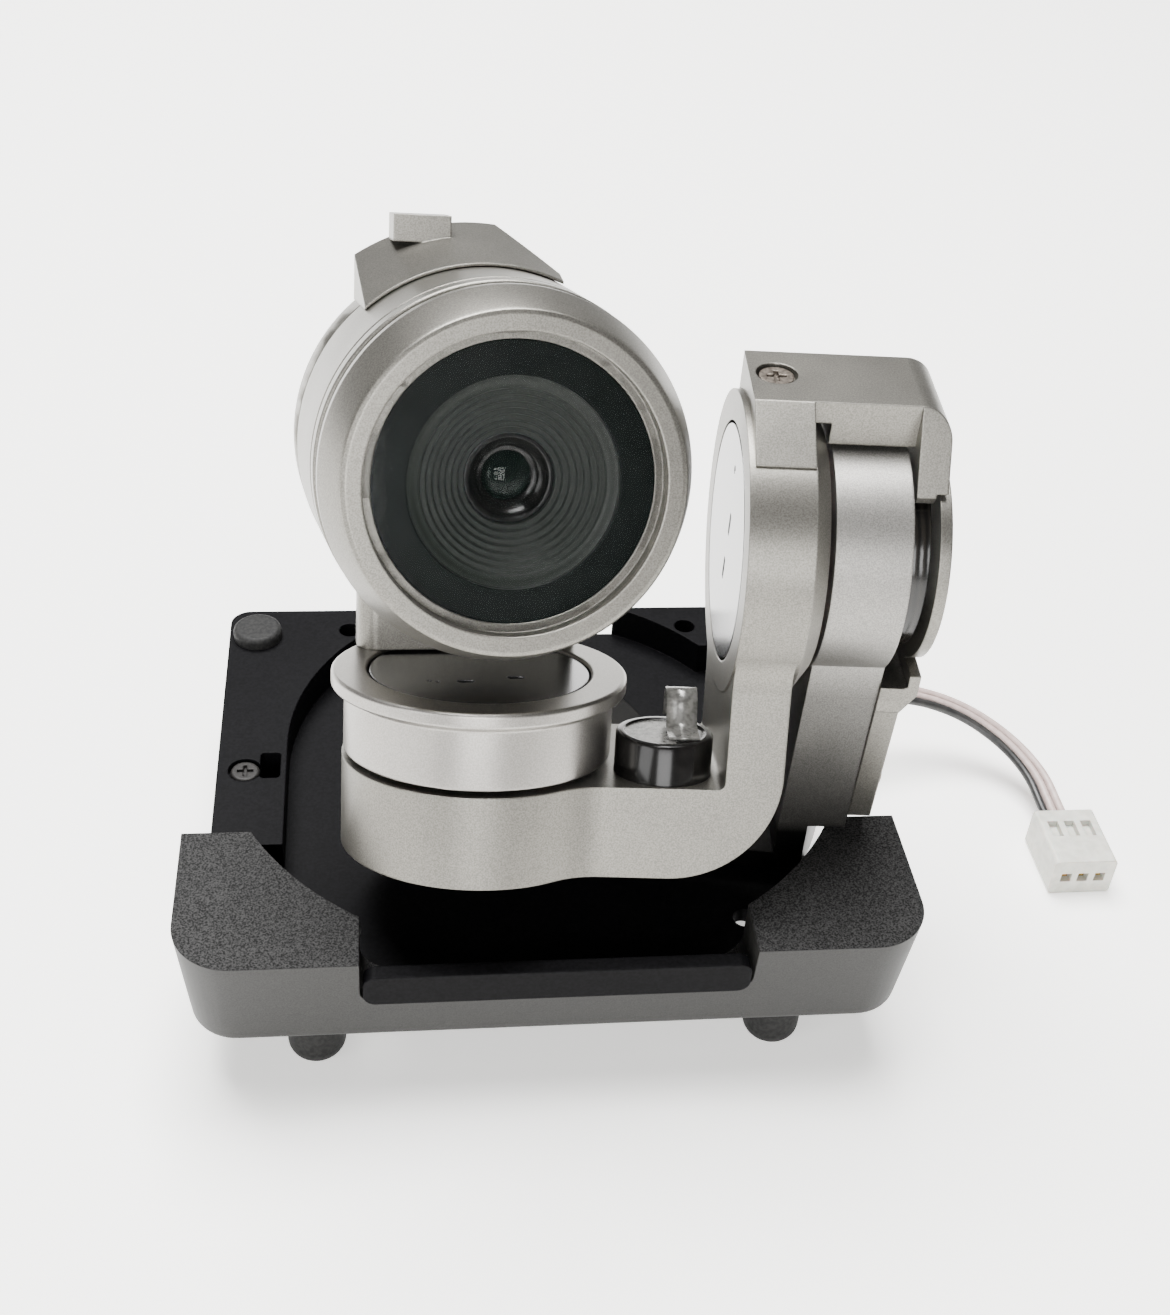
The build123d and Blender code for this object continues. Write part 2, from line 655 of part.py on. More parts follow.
# --- roll motor -----------------------------------------------------------------------------------
roll_core_x = head_left + cap_thick + running_gap + coil_rise
roll_core_tip = head_bore_radius - magnet_thick - air_gap
roll_core_plane = side(bridge_frame, roll_core_x)
roll_tube_length = disc_right - head_left - cap_thick - running_gap - 1.0
roll_stator_core = stator_core(roll_core_plane, roll_core_tip)
roll_windings = stator_windings(roll_core_plane, roll_core_tip)
roll_magnets = magnet_ring(side(bridge_frame, roll_core_x - 0.4), head_bore_radius, core_thick + 0.8)
roll_bearings = bearing_pair(
    side(bridge_frame, head_left + cap_thick + running_gap), roll_tube_length - 2 * bearing_width - 0.5
)

with BuildPart() as flex_coil:
    # flat cable wound round the roll axis
    with BuildSketch(side(bridge_frame, coil_left)):
        for turn in range(coil_turns):
            outer = coil_radius - coil_pitch * turn
            Circle(outer)
            Circle(outer - coil_thick, mode=Mode.SUBTRACT)
        Circle(coil_hub_radius)
        Rectangle(2 * coil_radius - 1, 0.8)
    extrude(amount=coil_right - coil_left)
    with BuildSketch(side(bridge_frame, disc_right)):
        Circle(1.4)
    extrude(amount=coil_left - disc_right)

# --- roll arm -------------------------------------------------------------------------------------
arm_middle_y = pitch_axis_y
corner_x = limb_right - elbow_radius
corner_z = bar_bottom + elbow_radius

with BuildPart() as roll_arm:
    # round end and bar
    with BuildSketch(level(roll_frame, bar_bottom, pitch_axis_x, pitch_axis_y)):
        with Locations(((corner_x - pitch_axis_x) / 2, 0)):
            Rectangle(corner_x - pitch_axis_x, 2 * arm_half_width)
        Circle(end_radius)
        fillet(vertices().sort_by(Axis(roll_frame.origin, roll_frame.x_dir))[-4:-2], arm_blend)
    extrude(amount=bar_top - bar_bottom)
    # elbow and limb
    with BuildSketch(front(roll_frame, arm_half_width - arm_middle_y)):
        with BuildLine():
            Line((corner_x, bar_top), (corner_x, bar_bottom))
            RadiusArc((corner_x, bar_bottom), (limb_right, corner_z), -elbow_radius)
            Line((limb_right, corner_z), (limb_left, corner_z))
            Line((limb_left, corner_z), (limb_left, bar_top + inner_elbow))
            RadiusArc((limb_left, bar_top + inner_elbow), (limb_left - inner_elbow, bar_top), inner_elbow)
            Line((limb_left - inner_elbow, bar_top), (corner_x, bar_top))
        make_face()
    extrude(amount=-2 * arm_half_width)
    with BuildSketch(side(roll_frame, limb_left)):
        with Locations((arm_middle_y, corner_z / 2)):
            Rectangle(2 * arm_half_width, -corner_z)
        Circle(head_radius)
        fillet(vertices().sort_by(Axis(roll_frame.origin, roll_frame.z_dir))[2:4], limb_blend)
    extrude(amount=limb_right - limb_left)
    with BuildSketch(side(bridge_frame, head_left)):
        Circle(head_radius)
    extrude(amount=head_right - head_left - head_rim_width)
    with BuildSketch(side(bridge_frame, head_right - head_rim_width)):
        Circle(head_radius)
    extrude(amount=head_rim_width, taper=degrees(atan2(head_radius - head_rim_radius, head_rim_width)))
    with BuildSketch(side(bridge_frame, head_left)):
        Circle(head_bore_radius)
    extrude(amount=head_right - head_left, mode=Mode.SUBTRACT)
    # cavity for the pitch stator's base and the encoder board
    with BuildSketch(level(roll_frame, bar_bottom + end_floor, pitch_axis_x, pitch_axis_y)):
        Circle(end_cavity_radius)
        Circle(bearing_outer_radius + tube_wall, mode=Mode.SUBTRACT)
    extrude(amount=bar_top - bar_bottom, mode=Mode.SUBTRACT)
    with BuildSketch(level(roll_frame, bar_top, pitch_axis_x, pitch_axis_y)):
        Circle(bearing_outer_radius + tube_wall)
    extrude(amount=flange_top - cap_thick - running_gap - bar_top)
    with BuildSketch(level(roll_frame, bar_bottom + end_floor, pitch_axis_x, pitch_axis_y)):
        Circle(bearing_outer_radius)
    extrude(amount=flange_top - bar_bottom, mode=Mode.SUBTRACT)
    # hole for the bridge screw
    with BuildSketch(level(bridge_frame, bridge_top - screw_seat, bridge_screw_x, bridge_screw_y)):
        Circle(screw_radius)
    extrude(amount=-screw_depth, mode=Mode.SUBTRACT)
    # seat of the flex drum
    with BuildSketch(level(roll_frame, bar_top - drum_base, drum_x, drum_y)):
        Circle(drum_radius)
    extrude(amount=drum_base, mode=Mode.SUBTRACT)

with BuildPart() as roll_rotor_cap:
    with BuildSketch(side(bridge_frame, head_left)):
        Circle(head_bore_radius - seat_gap)
    extrude(amount=cap_thick - 0.4)
    with BuildSketch(side(bridge_frame, head_left + cap_thick - 0.4)):
        Circle(head_bore_radius)
    extrude(amount=0.4)
    with BuildSketch(side(bridge_frame, head_left + cap_thick)):
        Circle(shaft_radius)
    extrude(amount=roll_tube_length)
    # slots and dimple on the outer face
    with BuildSketch(side(bridge_frame, head_left)):
        with Locations((-0.6, 1.6), (-0.6, -1.6)):
            RectangleRounded(0.5, 1.5, 0.2)
        with Locations((0.2, 5.0)):
            Circle(0.25)
    extrude(amount=0.5, mode=Mode.SUBTRACT)

# --- flex bridge: saddle over the roll motor, screwed to the head of the roll arm -----------------
leg_cos = cos(radians(bridge_leg_angle))
leg_sin = sin(radians(bridge_leg_angle))
leg_outer = head_radius + 0.15
coil_slot_left = disc_right + 0.3

with BuildPart() as flex_bridge:
    # left leg, sloping down to the roll arm's head
    with BuildSketch(side(bridge_frame, bridge_left)):
        with BuildLine():
            Polyline((bridge_back, bridge_top), (bridge_front, bridge_top),
                     (-leg_outer * leg_cos, leg_outer * leg_sin),
                     (-5.5 * leg_cos, 5.5 * leg_sin), (bridge_back, 5.5 * leg_sin), close=True)
        make_face()
    extrude(amount=bridge_left_leg - bridge_left)
    # right leg, hooked over the rim of the coil
    with BuildSketch(side(bridge_frame, coil_slot_left)):
        with BuildLine():
            Polyline((bridge_back, bridge_top), (bridge_front, bridge_top),
                     (bridge_front - 1.2, bridge_top - 2.2),
                     (bridge_hook_front, bridge_hook_end), (bridge_hook_front + 0.5, bridge_hook_end - 1.2),
                     (bridge_back, bridge_hook_end - 1.2), close=True)
        make_face()
    extrude(amount=bridge_right - coil_slot_left)
    with BuildSketch(side(bridge_frame, bridge_left_leg)):
        with BuildLine():
            Polyline((bridge_front, bridge_top), (bridge_back, bridge_top), (bridge_back, 5.0),
                     (bridge_front, 5.0), close=True)
        make_face()
    extrude(amount=coil_slot_left - bridge_left_leg)
    for start, end, radius in (
        (bridge_left - 1, head_right + 0.1, head_radius),
        (head_right + 0.1, coil_slot_left, disc_radius + running_gap),
        (coil_slot_left, plate_left - 0.3, coil_radius + 0.5),
        (plate_left - 0.3, bridge_right + 1, plate_radius + running_gap),
    ):
        with BuildSketch(side(bridge_frame, start)):
            Circle(radius)
        extrude(amount=end - start, mode=Mode.SUBTRACT)
    x_axis = Axis((0, 0, 0), yaw_frame.x_dir)
    y_axis = Axis((0, 0, 0), yaw_frame.y_dir)
    right_top = flex_bridge.edges().filter_by(y_axis).group_by(x_axis)[-1].sort_by(Axis.Z)[-1]
    fillet(right_top, bridge_round)
    with BuildSketch(level(bridge_frame, bridge_top, bridge_screw_x, bridge_screw_y)):
        Circle(screw_head_radius + seat_gap)
    extrude(amount=-screw_seat, mode=Mode.SUBTRACT)
    with BuildSketch(level(bridge_frame, bridge_top, bridge_screw_x, bridge_screw_y)):
        Circle(screw_radius)
    extrude(amount=-4, mode=Mode.SUBTRACT)

with BuildPart() as bridge_screw:
    with BuildSketch(level(bridge_frame, bridge_top - screw_seat, bridge_screw_x, bridge_screw_y)):
        Circle(screw_head_radius)
    extrude(amount=0.4)
    with BuildSketch(level(bridge_frame, bridge_top - screw_seat, bridge_screw_x, bridge_screw_y)):
        Circle(screw_radius)
    extrude(amount=-screw_depth)
    with BuildSketch(level(bridge_frame, bridge_top - 0.4, bridge_screw_x, bridge_screw_y)):
        Rectangle(1.2, 0.28)
        Rectangle(0.28, 1.2)
    extrude(amount=0.5, mode=Mode.SUBTRACT)

# --- flex drum on the bar -------------------------------------------------------------------------
with BuildPart() as flex_drum:
    with BuildSketch(level(roll_frame, bar_top - drum_base, drum_x, drum_y)):
        Circle(drum_radius)
    extrude(amount=drum_base + drum_height)
    top_rim = flex_drum.edges().filter_by(GeomType.CIRCLE).sort_by(Axis((0, 0, 0), roll_frame.z_dir))[-1]
    fillet(top_rim, 0.25)

with BuildPart() as flex_clip:
    # folded end of the flat cable standing on the drum
    with BuildSketch(side(roll_frame, drum_x + 0.4, drum_y, bar_top + drum_height)):
        with BuildLine():
            Polyline((0.2, 0), (0.6, 1.5), (1.6, 2.3), (2.6, 2.3), (2.6, 0), close=True)
        make_face()
    extrude(amount=2.0)

# --- pitch motor ----------------------------------------------------------------------------------
pitch_gap_z = bar_top + running_gap
pitch_core_z = flange_top - cap_thick - running_gap - coil_rise - core_thick - 0.2
pitch_core_tip = rotor_bore_radius - magnet_thick - air_gap
pitch_tube_top = flange_top - cap_thick - running_gap
pitch_tube_bottom = bar_bottom + end_floor

pitch_stator_core = stator_core(level(pitch_frame, pitch_core_z), pitch_core_tip)
pitch_windings = stator_windings(level(pitch_frame, pitch_core_z), pitch_core_tip)
pitch_magnets = magnet_ring(level(pitch_frame, pitch_core_z - 0.4), rotor_bore_radius, core_thick + 0.8)
pitch_bearings = bearing_pair(level(pitch_frame, pitch_tube_bottom + bearing_seat),
                              pitch_tube_top - pitch_tube_bottom - 2 * bearing_width - bearing_seat)

with BuildPart() as encoder_board:
    with BuildSketch(level(pitch_frame, bar_bottom + end_floor)):
        Circle(end_cavity_radius - 0.3)
        Circle(bearing_outer_radius + tube_wall + 0.2, mode=Mode.SUBTRACT)
    extrude(amount=0.8)

with BuildPart() as pitch_rotor:
    with BuildSketch(level(camera_frame, pitch_gap_z - camera_z)):
        Circle(rotor_radius)
    extrude(amount=flange_top - flange_thick - pitch_gap_z)
    with BuildSketch(level(camera_frame, flange_top - flange_thick - camera_z)):
        Circle(flange_radius)
    extrude(amount=flange_thick)
    with BuildSketch(level(camera_frame, pitch_gap_z - camera_z)):
        Circle(rotor_bore_radius)
    extrude(amount=flange_top - cap_thick - pitch_gap_z, mode=Mode.SUBTRACT)
    with BuildSketch(level(camera_frame, flange_top - cap_thick - camera_z)):
        Circle(pitch_cap_radius - 0.6)
    extrude(amount=cap_thick, mode=Mode.SUBTRACT)
    with BuildSketch(level(camera_frame, flange_top - 0.7 - camera_z)):
        Circle(pitch_cap_radius)
    extrude(amount=0.7, mode=Mode.SUBTRACT)
    chamfer(pitch_rotor.edges().sort_by(Axis((0, 0, 0), roll_frame.z_dir))[-2:], 0.15)

with BuildPart() as pitch_rotor_cap:
    with BuildSketch(level(camera_frame, flange_top - 0.7 - camera_z)):
        Circle(pitch_cap_radius - 0.15)
    extrude(amount=0.55)
    with BuildSketch(level(camera_frame, flange_top - cap_thick - camera_z)):
        Circle(pitch_cap_radius - 0.6)
    extrude(amount=cap_thick - 0.7)
    with BuildSketch(level(camera_frame, flange_top - cap_thick - camera_z)):
        Circle(shaft_radius)
    extrude(amount=pitch_tube_bottom + bearing_seat - flange_top + cap_thick)
    # two round and two oval holes in front of the camera bracket
    with BuildSketch(level(camera_frame, flange_top - 0.15 - camera_z)):
        with Locations((-3.4, -2.0), (-2.9, -2.2)):
            Circle(0.16)
        with Locations((-1.2, -2.2), (2.0, -1.6)):
            SlotOverall(1.1, 0.55)
    extrude(amount=-0.4, mode=Mode.SUBTRACT)

# --- camera ---------------------------------------------------------------------------------------
with BuildPart() as camera_bracket:
    with BuildSketch(level(camera_frame, flange_top - camera_z, 0, (bracket_front + bracket_back) / 2)):
        RectangleRounded(2 * bracket_half_width, bracket_back - bracket_front, 1.2)
    extrude(amount=camera_z - flange_top)
    with BuildSketch(front(camera_frame, bezel_back)):
        Circle(barrel_radius)
    extrude(amount=-bezel_back - bracket_back - 1, mode=Mode.SUBTRACT)

barrel_front = bezel_back - band_width

with BuildPart() as camera_barrel:
    with BuildSketch(front(camera_frame, barrel_back)):
        Circle(barrel_radius)
    extrude(amount=barrel_front - barrel_back,
            taper=degrees(atan2(barrel_radius - barrel_front_radius, barrel_front - barrel_back)))
    with BuildSketch(front(camera_frame, barrel_back + 1.0)):
        Circle(barrel_front_radius - barrel_wall)
    extrude(amount=bezel_back - barrel_back, mode=Mode.SUBTRACT)
    with BuildSketch(front(camera_frame, barrel_front - barrel_groove - 0.3)):
        Circle(barrel_radius + 1)
        Circle(barrel_front_radius - 0.25, mode=Mode.SUBTRACT)
    extrude(amount=0.3, mode=Mode.SUBTRACT)

with BuildPart() as groove_band:
    with BuildSketch(front(camera_frame, bezel_back - band_width)):
        Circle(band_radius)
        Circle(barrel_front_radius - barrel_wall - 0.4, mode=Mode.SUBTRACT)
    extrude(amount=band_width)

with BuildPart() as front_bezel:
    with BuildSketch(front(camera_frame, bezel_back)):
        Circle(bezel_radius)
    extrude(amount=bezel_front - bezel_slope - bezel_back)
    with BuildSketch(front(camera_frame, bezel_front - bezel_slope)):
        Circle(bezel_radius)
    extrude(amount=bezel_slope, taper=degrees(atan2(bezel_radius - bezel_lip_radius, bezel_slope)))
    with BuildSketch(front(camera_frame, bezel_back)):
        Circle(glass_radius - glass_ledge)
    extrude(amount=bezel_front - bezel_back, mode=Mode.SUBTRACT)
    with BuildSketch(front(camera_frame, bezel_front - glass_recess - glass_thick)):
        Circle(glass_radius)
    extrude(amount=2 * glass_thick, mode=Mode.SUBTRACT)

with BuildPart() as window_glass:
    with BuildSketch(front(camera_frame, bezel_front - glass_recess - glass_thick)):
        Circle(glass_radius)
    extrude(amount=glass_thick)

with BuildPart() as lens_shroud:
    # black mask ring behind the glass, then a stepped cone down to the lens
    with BuildSketch(front(camera_frame, bezel_back - shroud_back)):
        Circle(glass_radius - glass_ledge)
    extrude(amount=bezel_front - glass_recess - glass_thick - bezel_back + shroud_back)
    for step in range(shroud_steps):
        depth = 2 - 2 * step / shroud_steps
        with BuildSketch(front(camera_frame, bezel_front - glass_recess - glass_thick - depth)):
            Circle(lens_radius + 0.05 + (shroud_radius - lens_radius) * (step + 1) / shroud_steps)
        extrude(amount=depth, mode=Mode.SUBTRACT)
    with BuildSketch(front(camera_frame, bezel_back - shroud_back)):
        Circle(lens_radius)
    extrude(amount=bezel_front, mode=Mode.SUBTRACT)

lens_front = bezel_front - glass_recess - glass_thick - lens_set_back

with BuildPart() as lens_barrel:
    with BuildSketch(front(camera_frame, lens_back)):
        Circle(lens_radius)
    extrude(amount=lens_front - lens_back)
    with BuildSketch(front(camera_frame, lens_back)):
        Circle(lens_radius - 0.7)
    extrude(amount=lens_front - lens_back - 1.4, mode=Mode.SUBTRACT)
    with BuildSketch(front(camera_frame, lens_front - 1.4)):
        Circle(lens_radius - 1.25)
    extrude(amount=1.4, mode=Mode.SUBTRACT)

with BuildPart() as front_lens:
    with BuildSketch(front(camera_frame, lens_front - 1.4)):
        Circle(lens_radius - 1.25)
    extrude(amount=0.8)
    dome_edge = front_lens.edges().filter_by(GeomType.CIRCLE).sort_by(Axis((0, 0, 0), camera_frame.y_dir))[0]
    fillet(dome_edge, 0.5)

with BuildPart() as sensor_board:
    with BuildSketch(front(camera_frame, barrel_back + 1.0)):
        RectangleRounded(sensor_board_size[0], sensor_board_size[0], 1.0)
    extrude(amount=sensor_board_size[1])

with BuildPart() as image_sensor:
    with BuildSketch(front(camera_frame, barrel_back + 1.0 + sensor_board_size[1])):
        Rectangle(sensor_size[0], sensor_size[1])
    extrude(amount=sensor_size[2])

with BuildPart() as lens_mount:
    with BuildSketch(front(camera_frame, barrel_back + 1.0 + sensor_board_size[1])):
        RectangleRounded(mount_size[0], mount_size[0], 0.8)
        RectangleRounded(sensor_size[0] + 0.4, sensor_size[1] + 0.6, 0.4, mode=Mode.SUBTRACT)
    extrude(amount=mount_size[1])
    with BuildSketch(front(camera_frame, barrel_back + 1.0 + sensor_board_size[1] + mount_size[1])):
        RectangleRounded(mount_size[0], mount_size[0], 0.8)
        Circle(lens_radius - 0.7, mode=Mode.SUBTRACT)
    extrude(amount=mount_size[2])

with BuildPart() as rear_cover:
    # cup behind the barrel, with a joint groove at its front
    with BuildSketch(front(camera_frame, barrel_back)):
        Circle(barrel_radius - 0.25)
    extrude(amount=-rear_groove)
    with BuildSketch(front(camera_frame, barrel_back - rear_groove)):
        Circle(barrel_radius)
    extrude(amount=rear_groove - rear_length)
    with BuildSketch(front(camera_frame, barrel_back)):
        Circle(barrel_radius - 1.2)
    extrude(amount=1 - rear_length, mode=Mode.SUBTRACT)
    rear_rim = rear_cover.edges().filter_by(GeomType.CIRCLE).sort_by(Axis((0, 0, 0), camera_frame.y_dir))[-1]
    chamfer(rear_rim, 0.5)

with BuildPart() as saddle_cover:
    # conical sector standing on the barrel, upright on its left, sloping on its right
    saddle_back = barrel_back - rear_length
    saddle_length = saddle_front - saddle_back
    with BuildSketch(front(camera_frame, saddle_back)):
        Circle(saddle_back_radius)
    extrude(amount=saddle_length,
            taper=degrees(atan2(saddle_back_radius - saddle_front_radius, saddle_length)))
    with BuildSketch(front(camera_frame, saddle_back)):
        with Locations((saddle_left + saddle_pad_left + saddle_pad[0] / 2, saddle_back_radius - 0.4)):
            Rectangle(saddle_pad[0], 2 * saddle_pad[2] + 0.8)
    extrude(amount=saddle_pad[1])
    with BuildSketch(front(camera_frame, saddle_back)):
        with BuildLine():
            Polyline((saddle_left, saddle_foot_z), (saddle_left, saddle_back_radius - saddle_step[2]),
                     (saddle_left + saddle_step[0], saddle_back_radius - saddle_step[1]),
                     (saddle_left + saddle_step[0], 2 * saddle_back_radius),
                     (saddle_right, 2 * saddle_back_radius),
                     (saddle_right, saddle_back_radius), (saddle_right_foot, barrel_radius - 0.4),
                     (saddle_right_foot, saddle_foot_z), close=True)
        make_face()
    extrude(amount=saddle_length, mode=Mode.INTERSECT)
    with BuildSketch(front(camera_frame, saddle_back)):
        Circle(barrel_radius)
    extrude(amount=saddle_length, mode=Mode.SUBTRACT)

pieces = dict(
    front_shell=front_shell, inner_deck=inner_deck, deck_screw=deck_screw, rubber_dampers=rubber_dampers,
    yaw_motor_can=yaw_motor_can, yaw_stator_core=yaw_stator_core, yaw_windings=yaw_windings,
    yaw_bearings=yaw_bearings, control_board=control_board, board_chips=board_chips, cable_clip=cable_clip,
    plug_housing=plug_housing, plug_contacts=plug_contacts, **wires,
    yaw_rotor=yaw_rotor, yaw_magnets=yaw_magnets, yaw_arm=yaw_arm, yaw_arm_cover=yaw_arm_cover,
    cover_screw=cover_screw, roll_stator_core=roll_stator_core, roll_windings=roll_windings,
    roll_bearings=roll_bearings, flex_coil=flex_coil,
    roll_arm=roll_arm, roll_rotor_cap=roll_rotor_cap, roll_magnets=roll_magnets, flex_bridge=flex_bridge,
    bridge_screw=bridge_screw, flex_drum=flex_drum, flex_clip=flex_clip, pitch_stator_core=pitch_stator_core,
    pitch_windings=pitch_windings, pitch_bearings=pitch_bearings, encoder_board=encoder_board,
    pitch_rotor=pitch_rotor, pitch_rotor_cap=pitch_rotor_cap, pitch_magnets=pitch_magnets,
    camera_bracket=camera_bracket, camera_barrel=camera_barrel, groove_band=groove_band,
    front_bezel=front_bezel, window_glass=window_glass, lens_shroud=lens_shroud, lens_barrel=lens_barrel,
    front_lens=front_lens, sensor_board=sensor_board, image_sensor=image_sensor, lens_mount=lens_mount,
    rear_cover=rear_cover, saddle_cover=saddle_cover,
)
for label, piece in pieces.items():
    save(piece, label)
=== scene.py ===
import bpy
import bmesh
import json
from math import cos, pi, radians, sin
from mathutils import Matrix, Vector


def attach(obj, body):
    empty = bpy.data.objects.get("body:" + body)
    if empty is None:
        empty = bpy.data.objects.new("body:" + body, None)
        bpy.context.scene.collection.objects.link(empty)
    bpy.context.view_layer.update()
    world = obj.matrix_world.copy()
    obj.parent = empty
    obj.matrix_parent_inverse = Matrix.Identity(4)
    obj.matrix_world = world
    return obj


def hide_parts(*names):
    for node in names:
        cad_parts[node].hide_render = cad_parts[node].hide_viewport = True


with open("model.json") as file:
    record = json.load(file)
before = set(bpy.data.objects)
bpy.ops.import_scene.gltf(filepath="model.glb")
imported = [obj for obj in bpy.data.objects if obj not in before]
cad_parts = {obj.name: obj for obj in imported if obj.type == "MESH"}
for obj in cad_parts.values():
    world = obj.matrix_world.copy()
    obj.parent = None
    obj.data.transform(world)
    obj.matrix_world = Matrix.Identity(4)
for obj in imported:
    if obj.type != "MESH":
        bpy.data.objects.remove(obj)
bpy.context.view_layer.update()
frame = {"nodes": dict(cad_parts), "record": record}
mm = 0.001
scene = bpy.context.scene
bodyOf = {node: body for body,
          nodes in frame["record"]["behaviour"]["bodies"].items() for node in nodes}
slotOf = {part["node"]: part["material_slot"] for part in frame["record"]["subparts"]}
print("frame loaded:", len(frame["nodes"]), "nodes")


# camera, from the front left and above
shot = {"place": (-10.937, -91.270, 90.496), "azimuth": 8.87, "elevation": 38.05, "roll": 4.7,
        "focal": 46.44, "sensor": 36}


def placeCamera():
    a, e, r = (radians(shot[key]) for key in ("azimuth", "elevation", "roll"))
    forward = Vector((sin(a) * cos(e), cos(a) * cos(e), -sin(e)))
    right = Vector((cos(a), -sin(a), 0))
    up = right.cross(forward)
    tiltedRight = right * cos(r) + up * sin(r)
    tiltedUp = up * cos(r) - right * sin(r)
    data = bpy.data.cameras.new("camera")
    data.lens = shot["focal"]
    data.sensor_width = shot["sensor"]
    data.clip_start = 0.005
    camera = bpy.data.objects.new("camera", data)
    scene.collection.objects.link(camera)
    turn = Matrix((tiltedRight, tiltedUp, -forward)).transposed().to_4x4()
    camera.matrix_world = Matrix.Translation(Vector(shot["place"]) * mm) @ turn
    scene.camera = camera


placeCamera()
print("camera placed")


# lights and floor
studio = {"floor": (0.93, 0.922, 0.90), "floorSize": 3, "floorRough": 0.7, "glow": 0.75,
          "high": (0.16, 0.16, 0.165), "low": (0.66, 0.66, 0.65), "highFrom": 0.55,
          "roomPower": 0.85}
panels = [  # name, place in mm, aimed at, size in mm, power in watts
    ("overhead", (-60, 170, 600), (0, 20, 0), 420, 18.0),
    ("front left", (-330, -260, 170), (0, -10, 25), 220, 0.9),
    ("front low", (-40, -430, 180), (0, -10, 30), 240, 1.9),
]


def makeStudio():
    world = bpy.data.worlds.new("room")
    scene.world = world
    world.use_nodes = True
    tree = world.node_tree
    background = tree.nodes["Background"]
    background.inputs["Strength"].default_value = studio["roomPower"]
    around = tree.nodes.new("ShaderNodeTexCoord")
    height = tree.nodes.new("ShaderNodeSeparateXYZ")
    tree.links.new(around.outputs["Generated"], height.inputs["Vector"])
    stops = [(0.0, studio["low"]), (studio["highFrom"], studio["high"])]
    room = colourRamp(tree, height.outputs["Z"], stops)
    tree.links.new(room, background.inputs["Color"])
    for name, place, target, size, power in panels:
        data = bpy.data.lights.new(name, "AREA")
        data.size = size * mm
        data.energy = power
        lamp = bpy.data.objects.new(name, data)
        scene.collection.objects.link(lamp)
        way = (Vector(target) - Vector(place)).normalized()
        turn = way.to_track_quat("-Z", "Y").to_matrix().to_4x4()
        lamp.matrix_world = Matrix.Translation(Vector(place) * mm) @ turn
    sheet = bmesh.new()
    bmesh.ops.create_grid(sheet, x_segments=1, y_segments=1, size=studio["floorSize"])
    mesh = bpy.data.meshes.new("floor")
    sheet.to_mesh(mesh)
    sheet.free()
    floor = bpy.data.objects.new("floor", mesh)
    scene.collection.objects.link(floor)
    paper = bpy.data.materials.new("pale floor")
    paper.use_nodes = True
    shader = paper.node_tree.nodes["Principled BSDF"]
    shader.inputs["Base Color"].default_value = (*studio["floor"], 1)
    shader.inputs["Roughness"].default_value = studio["floorRough"]
    shader.inputs["Emission Color"].default_value = (*studio["floor"], 1)
    shader.inputs["Emission Strength"].default_value = studio["glow"]
    mesh.materials.append(paper)


# the three turning frames, as the parts rest: X right, Y back, Z up in each
rest = {"yaw": -4.3, "lean": 21.8, "turn": 9.6, "rollAxis": (0, -5.6, 32.3),
        "pitchAxis": (-3.95, -0.7, 0),
        "optical": 4.85}


def moved(place):
    return Matrix.Translation(Vector(place) * mm)


yawFrame = Matrix.Rotation(radians(rest["yaw"]), 4, "Z")
motorFrame = yawFrame @ moved(rest["rollAxis"])
rollFrame = motorFrame @ Matrix.Rotation(-radians(rest["lean"]), 4, "X")
pitchFrame = rollFrame @ moved(rest["pitchAxis"])
turnedFrame = pitchFrame @ Matrix.Rotation(radians(rest["turn"]), 4, "Z")
cameraFrame = turnedFrame @ moved((0, 0, rest["optical"]))
opticalAxis = cameraFrame @ Matrix.Rotation(radians(90), 4,
                                            "X")       # its Z points out of the lens


# materials
def newShader(name):
    material = bpy.data.materials.new(name)
    material.use_nodes = True
    tree = material.node_tree
    return material, tree, tree.nodes["Principled BSDF"]


def setShader(shader, **values):
    for key, value in values.items():
        socket = shader.inputs[key.replace("_", " ")]
        socket.default_value = (*value, 1) if isinstance(value, tuple) else value


def addNode(tree, kind, **values):
    node = tree.nodes.new(kind)
    for key, value in values.items():
        node.inputs[key.replace("_", " ")].default_value = value
    return node


def objectPoint(tree):
    return tree.nodes.new("ShaderNodeTexCoord").outputs["Object"]


def colourRamp(tree, source, stops):
    ramp = tree.nodes.new("ShaderNodeValToRGB")
    while len(ramp.color_ramp.elements) < len(stops):
        ramp.color_ramp.elements.new(0.5)
    for element, (place, colour) in zip(ramp.color_ramp.elements, stops):
        element.position = place
        element.color = (*colour, 1)
    tree.links.new(source, ramp.inputs["Fac"])
    return ramp.outputs["Color"]


def roughRange(tree, source, low, high, shader):
    span = addNode(tree, "ShaderNodeMapRange", To_Min=low, To_Max=high)
    tree.links.new(source, span.inputs["Value"])
    tree.links.new(span.outputs["Result"], shader.inputs["Roughness"])


relief = {"strength": 0.5, "edge": 0.14, "samples": 6}      # edge: radius of the rounding in mm


def bumpFrom(tree, source, depth, shader):
    # the fine relief lies on a normal that is rounded over at every edge
    bump = addNode(tree, "ShaderNodeBump", Strength=relief["strength"], Distance=depth * mm)
    rounded = addNode(tree, "ShaderNodeBevel", Radius=relief["edge"] * mm)
    rounded.samples = relief["samples"]
    tree.links.new(rounded.outputs["Normal"], bump.inputs["Normal"])
    tree.links.new(source, bump.inputs["Height"])
    tree.links.new(bump.outputs["Normal"], shader.inputs["Normal"])


def noiseAt(tree, scale, detail=2.0, rough=0.5):
    noise = addNode(tree, "ShaderNodeTexNoise", Scale=scale, Detail=detail, Roughness=rough)
    tree.links.new(objectPoint(tree), noise.inputs["Vector"])
    return noise.outputs["Fac"]


